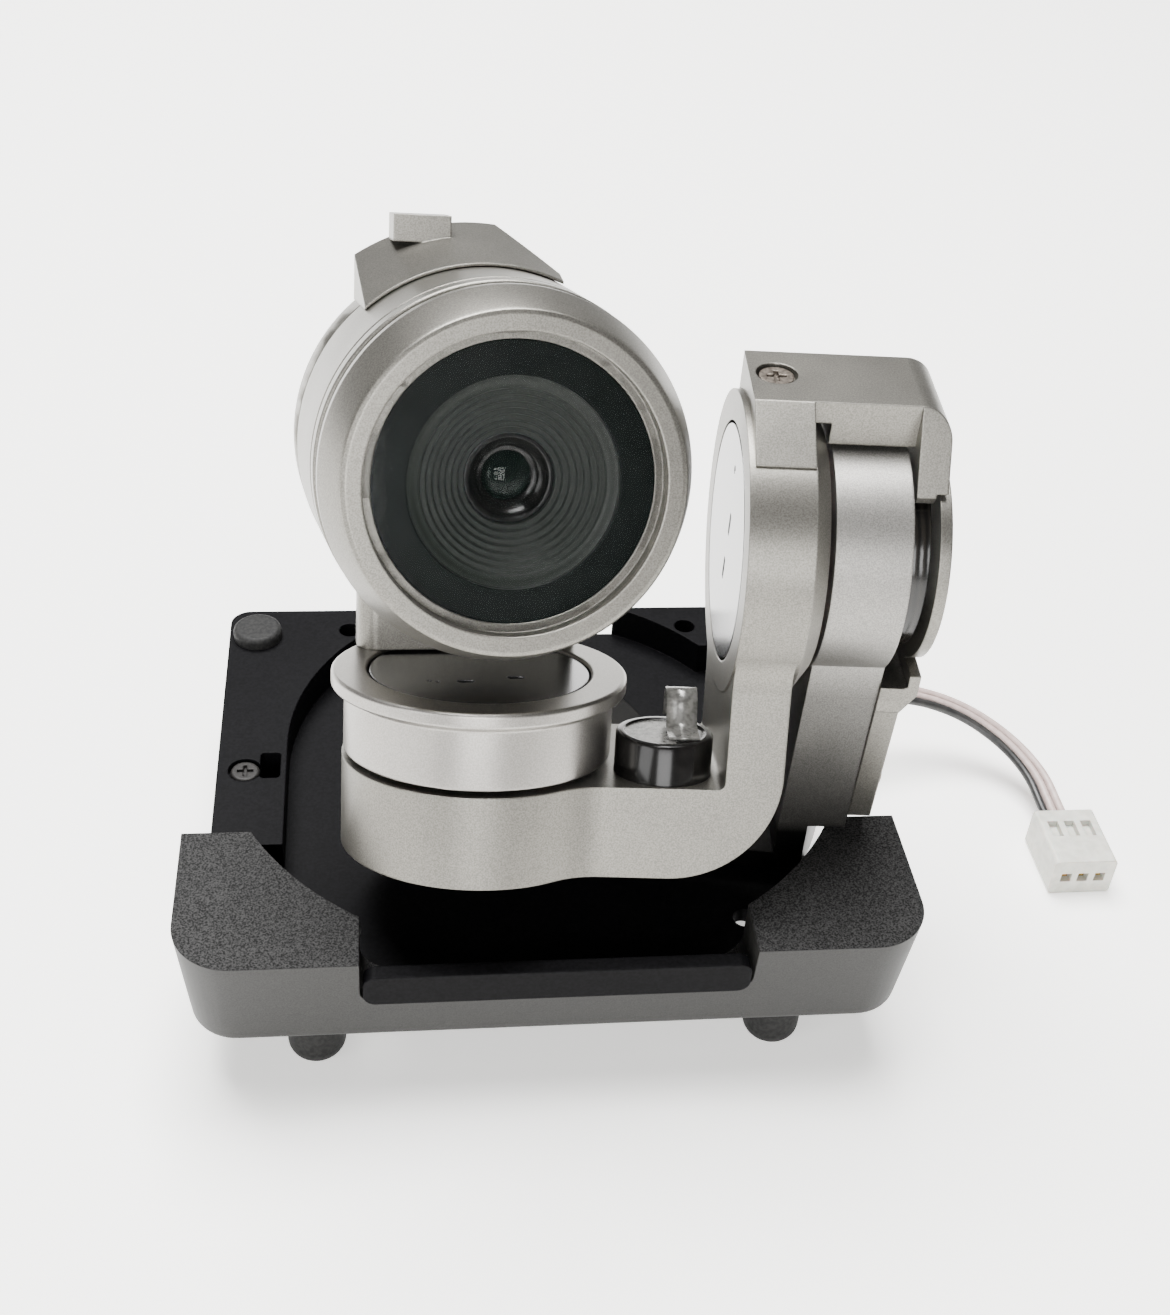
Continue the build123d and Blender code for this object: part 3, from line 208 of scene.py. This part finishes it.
def mixed(tree, first, second, share):
    mix = tree.nodes.new("ShaderNodeMix")
    mix.data_type = "RGBA"
    mix.blend_type = "MULTIPLY"
    mix.inputs["Factor"].default_value = share
    tree.links.new(first, mix.inputs["A"])
    tree.links.new(second, mix.inputs["B"])
    return mix.outputs["Result"]


grain = {"detail": 1.5, "rough": 0.6, "darkAt": 0.36, "lightAt": 0.64, "spread": 0.12}
patches = {"scale": 240, "detail": 3.0, "shade": (0.86, 0.86, 0.87), "shadeAt": 0.25,
           "plainAt": 0.75,
           "share": 0.8}


def grained(name, dark, light, rough, metal, scale, depth, **more):
    # fine grain over faint large patches, both in colour and in roughness
    material, tree, shader = newShader(name)
    fine = noiseAt(tree, scale, grain["detail"], grain["rough"])
    broad = noiseAt(tree, patches["scale"], patches["detail"])
    speckle = colourRamp(tree, fine, [(grain["darkAt"], dark), (grain["lightAt"], light)])
    shadeStops = [(patches["shadeAt"], patches["shade"]), (patches["plainAt"], (1, 1, 1))]
    shade = colourRamp(tree, broad, shadeStops)
    tree.links.new(mixed(tree, speckle, shade, patches["share"]), shader.inputs["Base Color"])
    roughRange(tree, broad, rough * (1 - grain["spread"]), rough * (1 + grain["spread"]), shader)
    bumpFrom(tree, fine, depth, shader)
    setShader(shader, Metallic=metal, **more)
    return material


heights = {"bottom": 8, "top": 30}      # mm above the feet


def paintedShadeByHeight(name, dark, light, rough, metal, scale, depth, stops):
    # the same grain, darkened in bands by height above the feet: painted shade on the strut below the roll arm, and
    # near black at the foot
    material = grained(name, dark, light, rough, metal, scale, depth)
    tree = material.node_tree
    shader = tree.nodes["Principled BSDF"]
    height = tree.nodes.new("ShaderNodeSeparateXYZ")
    tree.links.new(objectPoint(tree), height.inputs["Vector"])
    bottom, top = heights["bottom"], heights["top"]
    span = addNode(tree, "ShaderNodeMapRange", From_Min=bottom * mm, From_Max=top * mm)
    tree.links.new(height.outputs["Z"], span.inputs["Value"])
    greys = [((z - bottom) / (top - bottom), (grey, grey, grey)) for z, grey in stops]
    bands = colourRamp(tree, span.outputs["Result"], greys)
    base = shader.inputs["Base Color"].links[0].from_socket
    tree.links.new(mixed(tree, base, bands, 1.0), shader.inputs["Base Color"])
    return material


lines = {"distortion": 0.6, "detail": 2.0, "detailScale": 3.0, "darkAt": 0.2, "lightAt": 0.8,
         "wear": 900, "spread": 0.15}


def lined(name, dark, light, rough, metal, scale, axis, depth):
    # regular fine lines: bearings, laminations, windings, flat cable
    material, tree, shader = newShader(name)
    wave = addNode(tree, "ShaderNodeTexWave", Scale=scale, Distortion=lines["distortion"],
                   Detail=lines["detail"], Detail_Scale=lines["detailScale"])
    wave.bands_direction = axis
    tree.links.new(objectPoint(tree), wave.inputs["Vector"])
    colour = colourRamp(tree, wave.outputs["Fac"],
                        [(lines["darkAt"], dark), (lines["lightAt"], light)])
    tree.links.new(colour, shader.inputs["Base Color"])
    wear = noiseAt(tree, lines["wear"])
    roughRange(tree, wear, rough * (1 - lines["spread"]), rough * (1 + lines["spread"]), shader)
    bumpFrom(tree, wave.outputs["Fac"], depth, shader)
    setShader(shader, Metallic=metal)
    return material


board = {"scale": 900.0, "mask": (0.006, 0.035, 0.018), "maskAt": 0.35, "track": (0.02, 0.10, 0.05),
         "trackAt": 0.5, "depth": 0.02, "rough": 0.35}


def boardMaterial():
    # solder mask with paler tracks
    material, tree, shader = newShader("board green")
    cells = addNode(tree, "ShaderNodeTexVoronoi", Scale=board["scale"])
    cells.distance = "CHEBYCHEV"
    tree.links.new(objectPoint(tree), cells.inputs["Vector"])
    stops = [(board["maskAt"], board["mask"]), (board["trackAt"], board["track"])]
    tracks = colourRamp(tree, cells.outputs["Distance"], stops)
    tree.links.new(tracks, shader.inputs["Base Color"])
    bumpFrom(tree, cells.outputs["Distance"], board["depth"], shader)
    setShader(shader, Roughness=board["rough"])
    return material


glass = {"scale": 260, "detail": 4.0, "tintAt": 0.3, "smearAt": 0.8, "smear": 1.4, "clean": 0.03,
         "smeared": 0.08, "specular": 0.3}


def glassMaterial(name, tint, alpha):
    # faint smears, mostly clear
    material, tree, shader = newShader(name)
    smear = noiseAt(tree, glass["scale"], glass["detail"])
    paler = tuple(channel * glass["smear"] for channel in tint)
    colour = colourRamp(tree, smear, [(glass["tintAt"], tint), (glass["smearAt"], paler)])
    tree.links.new(colour, shader.inputs["Base Color"])
    roughRange(tree, smear, glass["clean"], glass["smeared"], shader)
    setShader(shader, Alpha=alpha, Specular_IOR_Level=glass["specular"])
    return material


# grained: name, dark, light, roughness, metal, scale of the grain, its depth in mm
# lined: name, dark, light, roughness, metal, scale of the lines, their axis, their depth in mm
materials = {
    "satin_silver": grained("satin silver", (0.15, 0.144, 0.127), (0.225, 0.216, 0.192), 0.36, 0.9,
                            11000, 0.008),
    "bright_edge": grained("turned silver", (0.29, 0.277, 0.256), (0.37, 0.354, 0.33), 0.32, 0.9,
                           11000, 0.005),
    "cap_silver": grained("cap silver", (0.22, 0.22, 0.225), (0.28, 0.28, 0.285), 0.2, 0.96, 12000,
                          0.003),
    # painted shade: the yaw arm strut darkens in bands below the roll arm, and is near black at its foot
    "strut_silver": paintedShadeByHeight("strut silver with painted shade", (0.20, 0.194, 0.18), (0.31, 0.30, 0.28), 0.42,
                                   0.88, 12000, 0.012,
                                   [(12.0, 0.03), (13.0, 0.42), (24.5, 0.5), (27.5, 1.0)]),
    "grey_skirt": grained("skirt grey", (0.014, 0.0138, 0.0128), (0.024, 0.0236, 0.022), 0.5, 0.0,
                          11000, 0.006, Specular_IOR_Level=0.25),
    "chin_top": grained("speckled grey", (0.003, 0.003, 0.003), (0.036, 0.0355, 0.035), 0.75, 0.0,
                        8500, 0.05, Specular_IOR_Level=0.12),
    "charcoal": grained("charcoal nylon", (0.0016, 0.0016, 0.0019), (0.0035, 0.0034, 0.004), 0.5, 0,
                        5000, 0.004, Specular_IOR_Level=0.05),
    "rubber_grey": grained("grey rubber", (0.009, 0.009, 0.009), (0.018, 0.0178, 0.0172), 0.6, 0,
                           4000, 0.01, Specular_IOR_Level=0.15),
    "black_gloss": grained("gloss black", (0.004, 0.0037, 0.0035), (0.008, 0.0075, 0.007), 0.16, 0,
                           800, 0.002, Specular_IOR_Level=0.3),
    "black_matt": grained("matt black", (0.004, 0.0045, 0.0045), (0.009, 0.010, 0.0095), 0.5, 0,
                          5000, 0.006, Specular_IOR_Level=0.15),
    "screw_steel": grained("dark steel", (0.10, 0.085, 0.07), (0.22, 0.19, 0.16), 0.38, 0.9, 4000,
                           0.01),
    "brown_screw": grained("bronze steel", (0.07, 0.05, 0.035), (0.16, 0.115, 0.08), 0.38, 0.9,
                           4000, 0.01),
    "bearing_steel": lined("bearing steel", (0.5, 0.5, 0.5), (0.75, 0.75, 0.75), 0.18, 1, 2000, "Z",
                           0.002),
    "magnet": grained("nickel magnet", (0.45, 0.43, 0.40), (0.6, 0.58, 0.55), 0.3, 1, 3000, 0.004),
    "core_steel": lined("lamination stack", (0.03, 0.03, 0.033), (0.12, 0.12, 0.13), 0.5, 0.7, 1600,
                        "Z", 0.02),
    "copper": lined("copper winding", (0.32, 0.10, 0.03), (0.72, 0.30, 0.12), 0.3, 0.9, 1500, "Z",
                    0.04),
    "board_green": boardMaterial(),
    "chip_black": grained("chip package", (0.012, 0.012, 0.013), (0.03, 0.03, 0.032), 0.45, 0, 4000,
                          0.006),
    "flex_black": lined("flat cable", (0.003, 0.0026, 0.0022), (0.010, 0.0085, 0.007), 0.2, 0, 700,
                        "X", 0.02),
    "flex_clear": grained("bare cable end", (0.12, 0.118, 0.11), (0.24, 0.235, 0.22), 0.25, 0.4,
                          2500, 0.006),
    "plug_white": grained("plug nylon", (0.48, 0.475, 0.42), (0.56, 0.555, 0.495), 0.42, 0, 1500,
                          0.006, Subsurface_Weight=0.15, Subsurface_Scale=0.0006),
    "contact_brass": grained("brass contact", (0.55, 0.38, 0.15), (0.75, 0.55, 0.25), 0.25, 1, 3000,
                             0.004),
    "wire_pink": grained("pale pink wire", (0.40, 0.31, 0.285), (0.48, 0.385, 0.355), 0.42, 0, 1800,
                         0.006),
    "wire_dark": grained("black wire", (0.01, 0.01, 0.01), (0.022, 0.021, 0.02), 0.42, 0, 1800,
                         0.006),
    "window_glass": glassMaterial("window glass", (0.003, 0.005, 0.0045), 0.10),
    "lens_glass": glassMaterial("lens glass", (0.006, 0.012, 0.009), 0.5),
    "sensor_glass": grained("sensor die", (0.03, 0.035, 0.05), (0.06, 0.05, 0.08), 0.1, 0.4, 1500,
                            0.002),
    "bronze_band": grained("bronze band", (0.10, 0.075, 0.05), (0.17, 0.13, 0.095), 0.4, 0.6, 4000,
                           0.006),
    "dark_bolt": grained("blackened bolt", (0.006, 0.0055, 0.005), (0.014, 0.012, 0.011), 0.5, 0.0,
                         6000, 0.006, Specular_IOR_Level=0.2),
    # near-black window mask, also used as painted shade in the barrel groove
    "mask_black": grained("window mask and groove shade", (0.0015, 0.003, 0.0025), (0.003, 0.0045, 0.004), 0.3, 0,
                          600, 0.001, Specular_IOR_Level=0.1),
    "ring_grey": grained("lens surround", (0.011, 0.0135, 0.0112), (0.016, 0.019, 0.016), 0.4, 0,
                         5000, 0.004, Specular_IOR_Level=0.2),
}
finishes = {"yaw_arm": "strut_silver", "pitch_rotor_cap": "cap_silver",
            "roll_rotor_cap": "cap_silver", "deck_screw": "dark_bolt"}
for node, piece in frame["nodes"].items():
    piece.data.materials.clear()
    piece.data.materials.append(materials[finishes.get(node, slotOf[node])])
print("materials:", len(materials))
makeStudio()
print("studio ready")


# how a finished piece joins the model
def finishPiece(name, mesh, node, bevel=0, angle=35, segments=3):
    piece = bpy.data.objects.new(name, mesh)
    scene.collection.objects.link(piece)
    for polygon in mesh.polygons:
        polygon.use_smooth = True
    mesh.set_sharp_from_angle(angle=radians(angle))
    if not mesh.materials:
        mesh.materials.append(materials[slotOf[node]])
    if bevel:
        edge = piece.modifiers.new("edges", "BEVEL")
        edge.width = bevel * mm
        edge.segments = segments
        edge.limit_method = "ANGLE"
        edge.angle_limit = radians(angle)
        edge.harden_normals = True
    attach(piece, bodyOf[node])
    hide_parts(node)
    return piece


def closeMesh(name, shape):
    mesh = bpy.data.meshes.new(name)
    shape.to_mesh(mesh)
    shape.free()
    return mesh


def twoTone(mesh, main, accent, axis, isAccent):
    # faces that isAccent picks by their centre, in mm in the axis frame, get the accent
    mesh.materials.append(materials[main])
    mesh.materials.append(materials[accent])
    inverse = axis.inverted()
    for polygon in mesh.polygons:
        if isAccent(inverse @ polygon.center / mm):
            polygon.material_index = 1


def spun(profile, axis, steps=128, closed=True):
    # profile of (radius, height) in mm, turned about the axis frame's Z
    shape = bmesh.new()
    points = [shape.verts.new((radius * mm, 0, height * mm)) for radius, height in profile]
    pairs = list(zip(points, points[1:])) + ([(points[-1], points[0])] if closed else [])
    edges = [shape.edges.new(pair) for pair in pairs]
    bmesh.ops.spin(shape, geom=points + edges, axis=(0, 0, 1), cent=(0, 0, 0), angle=2 * pi,
                   steps=steps, use_merge=True, use_duplicate=False)
    bmesh.ops.remove_doubles(shape, verts=shape.verts, dist=0.001 * mm)
    bmesh.ops.recalc_face_normals(shape, faces=shape.faces)
    bmesh.ops.transform(shape, matrix=axis, verts=shape.verts)
    return shape


def turnedPiece(name, node, profile, axis, bevel=0, steps=128, closed=True, angle=35):
    mesh = closeMesh(name, spun(profile, axis, steps, closed))
    return finishPiece(name, mesh, node, bevel, angle)


# three-wire cable, from the clip under the deck to its plug
cable = {"radius": 0.33, "pitch": 0.72, "lengths": (30.7, 31.8, 32.9), "roundness": 5,
         "smoothness": 12}
cableRoute = [  # x, y, z, then the side on which the outer wire lies
    (17.5, 8.0, 6.1, 0.0, 1.0),
    (21.9, 8.0, 6.1, 0.0, 1.0),
    (26.4, 9.4, 6.6, 0.0, 1.0),
    (31.2, 10.2, 6.1, 0.1, 1.0),
    (35.7, 9.6, 4.8, 0.4, 0.9),
    (39.1, 7.4, 3.4, 0.7, 0.7),
    (41.0, 4.4, 2.3, 0.95, 0.3),
    (41.3, 1.4, 1.6, 1.0, 0.0),
    (41.3, -0.8, 1.6, 1.0, 0.0),
]


def makeWire(place, node):
    offset = place * cable["pitch"]
    points = [Vector((x + offset * dx, y + offset * dy, z)) * mm for x, y, z, dx, dy in cableRoute]
    curve = bpy.data.curves.new(node + "_line", "CURVE")
    curve.dimensions = "3D"
    curve.bevel_depth = cable["radius"] * mm
    curve.bevel_resolution = cable["roundness"]
    curve.resolution_u = cable["smoothness"]
    curve.use_fill_caps = True
    line = curve.splines.new("NURBS")
    line.points.add(len(points) - 1)
    for control, point in zip(line.points, points):
        control.co = (*point, 1)
    line.order_u = 3
    line.use_endpoint_u = True
    curve.materials.append(materials[slotOf[node]])
    wire = bpy.data.objects.new(node + "_line", curve)
    scene.collection.objects.link(wire)
    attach(wire, "base")
    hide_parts(node)


for place, node in zip((-1, 0, 1),
                       ("signal_wire_inner", "signal_wire_middle", "signal_wire_outer")):
    makeWire(place, node)
print("cable laid")


# camera: bezel, barrel, window and lens, all turned about the optical axis
bezel = {"front": 10.4, "radius": 10.6, "lip": 9.5, "slope": 2.9, "back": 6.4, "glass": 8.4,
         "seat": 7.9, "recess": 0.15, "glassThick": 0.8, "round": 0.22}


def makeBezel():
    b = bezel
    seat = b["front"] - b["recess"] - b["glassThick"]
    profile = [
        (b["radius"] - 0.12, b["back"]), (b["radius"], b["back"] + 0.3),
        (b["radius"], b["front"] - b["slope"]),
        (b["lip"] + 0.2, b["front"] - 0.35), (b["lip"] + 0.04, b["front"] - 0.08),
        (b["lip"] - 0.2, b["front"]),
        (b["glass"] + 0.06, b["front"]), (b["glass"] + 0.01, b["front"] - 0.05),
        (b["glass"] + 0.01, seat),
        (b["seat"], seat), (b["seat"], b["back"]),
    ]
    turnedPiece("bezel_ring", "front_bezel", profile, opticalAxis, b["round"], 160, angle=12)


barrel = {"front": 5.8, "back": -3.6, "frontRadius": 10.7, "radius": 11.0, "wall": 0.9,
          "groove": 1.2}


def makeBarrel():
    b = barrel
    slope = (b["radius"] - b["frontRadius"]) / (b["front"] - b["back"])
    groove = b["front"] - b["groove"]
    profile = [(b["radius"], b["back"]),
               (b["frontRadius"] + slope * (b["groove"] + 0.35), groove - 0.35),
               (b["frontRadius"] - 0.2, groove - 0.3), (b["frontRadius"] - 0.2, groove),
               (b["frontRadius"] + slope * b["groove"], groove + 0.05),
               (b["frontRadius"], b["front"] - 0.08), (b["frontRadius"] - 0.1, b["front"]),
               (b["frontRadius"] - b["wall"], b["front"]),
               (b["frontRadius"] - b["wall"], b["back"] + 1), (0, b["back"] + 1), (0, b["back"])]
    mesh = closeMesh("barrel_tube", spun(profile, opticalAxis, 160, False))
    # painted shade: the groove faces get the near-black window mask material
    twoTone(mesh, "satin_silver", "mask_black", opticalAxis, lambda place:
            groove - 0.32 < place.z < groove + 0.02 and place.xy.length < b["frontRadius"] - 0.05)
    finishPiece("barrel_tube", mesh, "camera_barrel", angle=12)


band = {"inner": 9.4, "radius": 10.25, "groove": 10.02, "back": 5.8, "front": 6.4, "lip": 0.15,
        "slope": 0.05}


def makeBand():
    b = band
    low, high = b["back"] + b["lip"], b["front"] - b["lip"]
    profile = [(b["inner"], b["back"]), (b["radius"], b["back"]), (b["radius"], low),
               (b["groove"], low + b["slope"]), (b["groove"], high - b["slope"]),
               (b["radius"], high), (b["radius"], b["front"]), (b["inner"], b["front"])]
    turnedPiece("band_ring", "groove_band", profile, opticalAxis, 0.03, 160)


rear = {"front": -3.6, "back": -8.0, "radius": 11.0, "groove": 0.3, "step": 0.25, "inner": 9.8,
        "chamfer": 0.5, "dish": 5.2, "dishDepth": 0.25, "wall": 1.0}


def makeRearCover():
    r = rear
    grooveEnd = r["front"] - r["groove"]
    floor = r["back"] + r["dishDepth"]
    profile = [(r["inner"], r["front"]), (r["radius"] - r["step"], r["front"]),
               (r["radius"] - r["step"], grooveEnd), (r["radius"] - 0.03, grooveEnd),
               (r["radius"], grooveEnd - 0.06), (r["radius"], r["back"] + r["chamfer"]),
               (r["radius"] - r["chamfer"], r["back"]), (r["dish"], r["back"]),
               (r["dish"] - 0.2, floor), (0, floor), (0, r["back"] + r["wall"]), (r["inner"], r["back"] + r["wall"])]
    turnedPiece("rear_cup", "rear_cover", profile, opticalAxis, 0.12, 160)


window = {"back": 9.45, "gap": 0.03, "chamfer": 0.12}


def makeWindow():
    top = bezel["front"] - bezel["recess"]
    radius = bezel["glass"] - window["gap"]
    profile = [(0, window["back"]), (radius, window["back"]), (radius, top - window["chamfer"]),
               (radius - window["chamfer"], top), (0, top)]
    turnedPiece("window_pane", "window_glass", profile, opticalAxis, 0, 128, closed=False)


shroud = {"outer": 7.88, "back": 4.85, "gap": 0.04, "mask": 5.95, "edge": 0.02, "ledge": 0.22,
          "seat": 2.55, "bore": 2.72, "depth": 1.9, "steps": 9, "curve": 1.2}


def makeShroud():
    # black mask behind the glass, then fine ridges down to the lens seat
    s = shroud
    front = window["back"] - s["gap"]
    profile = [(s["outer"], s["back"]), (s["outer"], front), (s["mask"], front),
               (s["mask"] - s["edge"], front - s["ledge"])]
    rise = (s["mask"] - s["seat"]) / s["steps"]
    fall = s["depth"] - 0.3
    for step in range(s["steps"]):
        radius = s["mask"] - s["edge"] - step * rise
        depth = s["ledge"] + fall * (step / s["steps"]) ** s["curve"]
        lower = s["ledge"] + fall * ((step + 1) / s["steps"]) ** s["curve"]
        profile += [(radius - rise * 0.8, front - depth), (radius - rise, front - lower)]
    profile += [(s["seat"], front - s["depth"]), (s["bore"], front - s["depth"]),
                (s["bore"], s["back"])]
    mesh = closeMesh("lens_surround", spun(profile, opticalAxis, 160))
    twoTone(mesh, "ring_grey", "mask_black", opticalAxis,
            lambda place: place.xy.length > s["mask"] + 0.005)
    finishPiece("lens_surround", mesh, "lens_shroud", angle=60)


lens = {"front": 7.55, "back": 0.6, "radius": 2.68, "shoulder": 2.55, "cone": 1.75, "bore": 1.42,
        "innerRadius": 2.0, "floor": 1.6, "element": 1.40, "elementBack": 1.55, "elementEdge": 1.0,
        "crown": 0.62}      # floor, elementBack and elementEdge: depths behind the front


def makeLens():
    f = lens["front"]
    floor = f - lens["floor"]
    tube = [(lens["radius"], lens["back"]), (lens["radius"], f - 0.15), (lens["shoulder"], f),
            (2.3, f),
            (2.1, f - 0.3), (lens["cone"], f - 0.55), (lens["cone"] - 0.03, f - 0.75),
            (lens["bore"], f - 0.85), (lens["bore"], floor), (lens["innerRadius"], floor),
            (lens["innerRadius"], lens["back"])]
    turnedPiece("lens_tube", "lens_barrel", tube, opticalAxis, 0.03, 96)
    r, edge = lens["element"], f - lens["elementEdge"]
    dome = [(0, f - lens["elementBack"]), (r, f - lens["elementBack"]), (r, edge)]
    dome += [(r * cos(radians(a)), edge + lens["crown"] * sin(radians(a))) for a in range(15, 90,
                                                                                          15)]
    dome += [(0, edge + lens["crown"])]
    turnedPiece("lens_dome", "front_lens", dome, opticalAxis, 0, 64, closed=False)


makeBezel()
makeBarrel()
makeBand()
makeRearCover()
makeWindow()
makeShroud()
makeLens()
print("camera made")


# flanged rotor of the pitch motor, turned about the pitch axis
rotor = {"top": -8.5, "flange": 9.15, "flangeThick": 1.1, "radius": 8.35, "bottom": -13.55,
         "bore": 7.5, "cap": 6.95, "capThick": 1.4}


def makeRotor():
    r = rotor
    under = r["top"] - r["flangeThick"]      # underside of the flange
    ledge = r["top"] - 0.7      # the cap lies on it
    floor = r["top"] - r["capThick"]
    profile = [(r["radius"] - 0.1, r["bottom"]), (r["radius"], r["bottom"] + 0.1),
               (r["radius"], under - 0.25), (r["radius"] + 0.25, under),
               (r["flange"] - 0.12, under + 0.1), (r["flange"], under + 0.25),
               (r["flange"], r["top"] - 0.15), (r["flange"] - 0.15, r["top"]),
               (r["cap"] + 0.15, r["top"]), (r["cap"], r["top"] - 0.1), (r["cap"], ledge),
               (r["cap"] - 0.6, ledge), (r["cap"] - 0.6, floor), (r["bore"], floor),
               (r["bore"], r["bottom"])]
    turnedPiece("pitch_flange", "pitch_rotor", profile, turnedFrame, 0.08, 160, angle=20)


makeRotor()
print("pitch rotor made")


# front shell: speckled on top, smooth on its skirt
# merge is in mm, flat and sharp are in degrees
shell = {"merge": 0.002, "flat": 0.8, "upward": 0.8, "sharp": 30}


def makeShell():
    # a copy of the CAD piece with its triangles joined into whole faces
    shape = bmesh.new()
    shape.from_mesh(frame["nodes"]["front_shell"].data)
    bmesh.ops.remove_doubles(shape, verts=shape.verts, dist=shell["merge"] * mm)
    bmesh.ops.dissolve_limit(shape, angle_limit=radians(shell["flat"]), verts=shape.verts,
                             edges=shape.edges)
    mesh = closeMesh("chin_shell", shape)
    mesh.materials.append(materials["grey_skirt"])
    mesh.materials.append(materials["chin_top"])
    for polygon in mesh.polygons:
        if polygon.normal.z > shell["upward"]:
            polygon.material_index = 1
    finishPiece("chin_shell", mesh, "front_shell", angle=shell["sharp"])


makeShell()
print("front shell made")


# black drum on the bar, with the folded end of the flat cable on it
drum = {"x": 7.5, "y": -3.4, "bottom": -14.4, "top": -11.3, "radius": 3.0, "rim": 0.6, "dish": 0.12,
        "sheetEdge": 0.5}


def makeDrum():
    d = drum
    centre = rollFrame @ moved((d["x"], d["y"], 0))
    dish = d["top"] - d["dish"]
    profile = [(0, d["bottom"]), (d["radius"], d["bottom"]), (d["radius"], d["top"] - 0.2),
               (d["radius"] - 0.1, d["top"] - 0.05), (d["radius"] - 0.25, d["top"]),
               (d["radius"] - 0.5, d["top"]), (d["radius"] - d["rim"], dish),
               (d["radius"] - 1.2, dish), (d["radius"] - 2.0, dish), (0, dish)]
    mesh = closeMesh("cable_drum", spun(profile, centre, 96, False))
    # the left part of the dish is a pale sheet
    twoTone(mesh, "black_gloss", "flex_clear", centre, lambda place: place.z > dish - 0.02
            and place.xy.length < d["radius"] - d["rim"] and place.x < d["sheetEdge"])
    finishPiece("cable_drum", mesh, "flex_drum")


ribbon = {"left": 7.6, "right": 9.5, "thick": 0.14, "y": -3.4, "floor": -11.38, "cuts": 3,
          "line": [(-1.9, 0.12), (-0.6, 0.14), (0.25, 0.35), (0.55, 1.1), (0.75, 1.9), (1.25, 2.35),
                   (1.9, 2.3), (2.3, 1.8), (2.35, 1.1), (2.3, 0.3)]}


def makeRibbon():
    # flat cable end: lies on the drum, stands up, and bends over backwards
    r = ribbon
    shape = bmesh.new()
    line = [shape.verts.new((r["left"] * mm, (r["y"] + y) * mm, (r["floor"] + z) * mm))
            for y, z in r["line"]]
    edges = [shape.edges.new(pair) for pair in zip(line, line[1:])]
    bmesh.ops.subdivide_edges(shape, edges=edges, cuts=ribbon["cuts"])
    bmesh.ops.smooth_vert(shape, verts=shape.verts, factor=0.5, use_axis_y=True, use_axis_z=True)
    sweep = bmesh.ops.extrude_edge_only(shape, edges=shape.edges)
    moving = [item for item in sweep["geom"] if isinstance(item, bmesh.types.BMVert)]
    bmesh.ops.translate(shape, vec=((r["right"] - r["left"]) * mm, 0, 0), verts=moving)
    bmesh.ops.recalc_face_normals(shape, faces=shape.faces)
    bmesh.ops.transform(shape, matrix=rollFrame, verts=shape.verts)
    piece = finishPiece("cable_fold", closeMesh("cable_fold", shape), "flex_clip", angle=60)
    body = piece.modifiers.new("thickness", "SOLIDIFY")
    body.thickness = r["thick"] * mm
    body.offset = 0


makeDrum()
makeRibbon()
print("small pieces made")
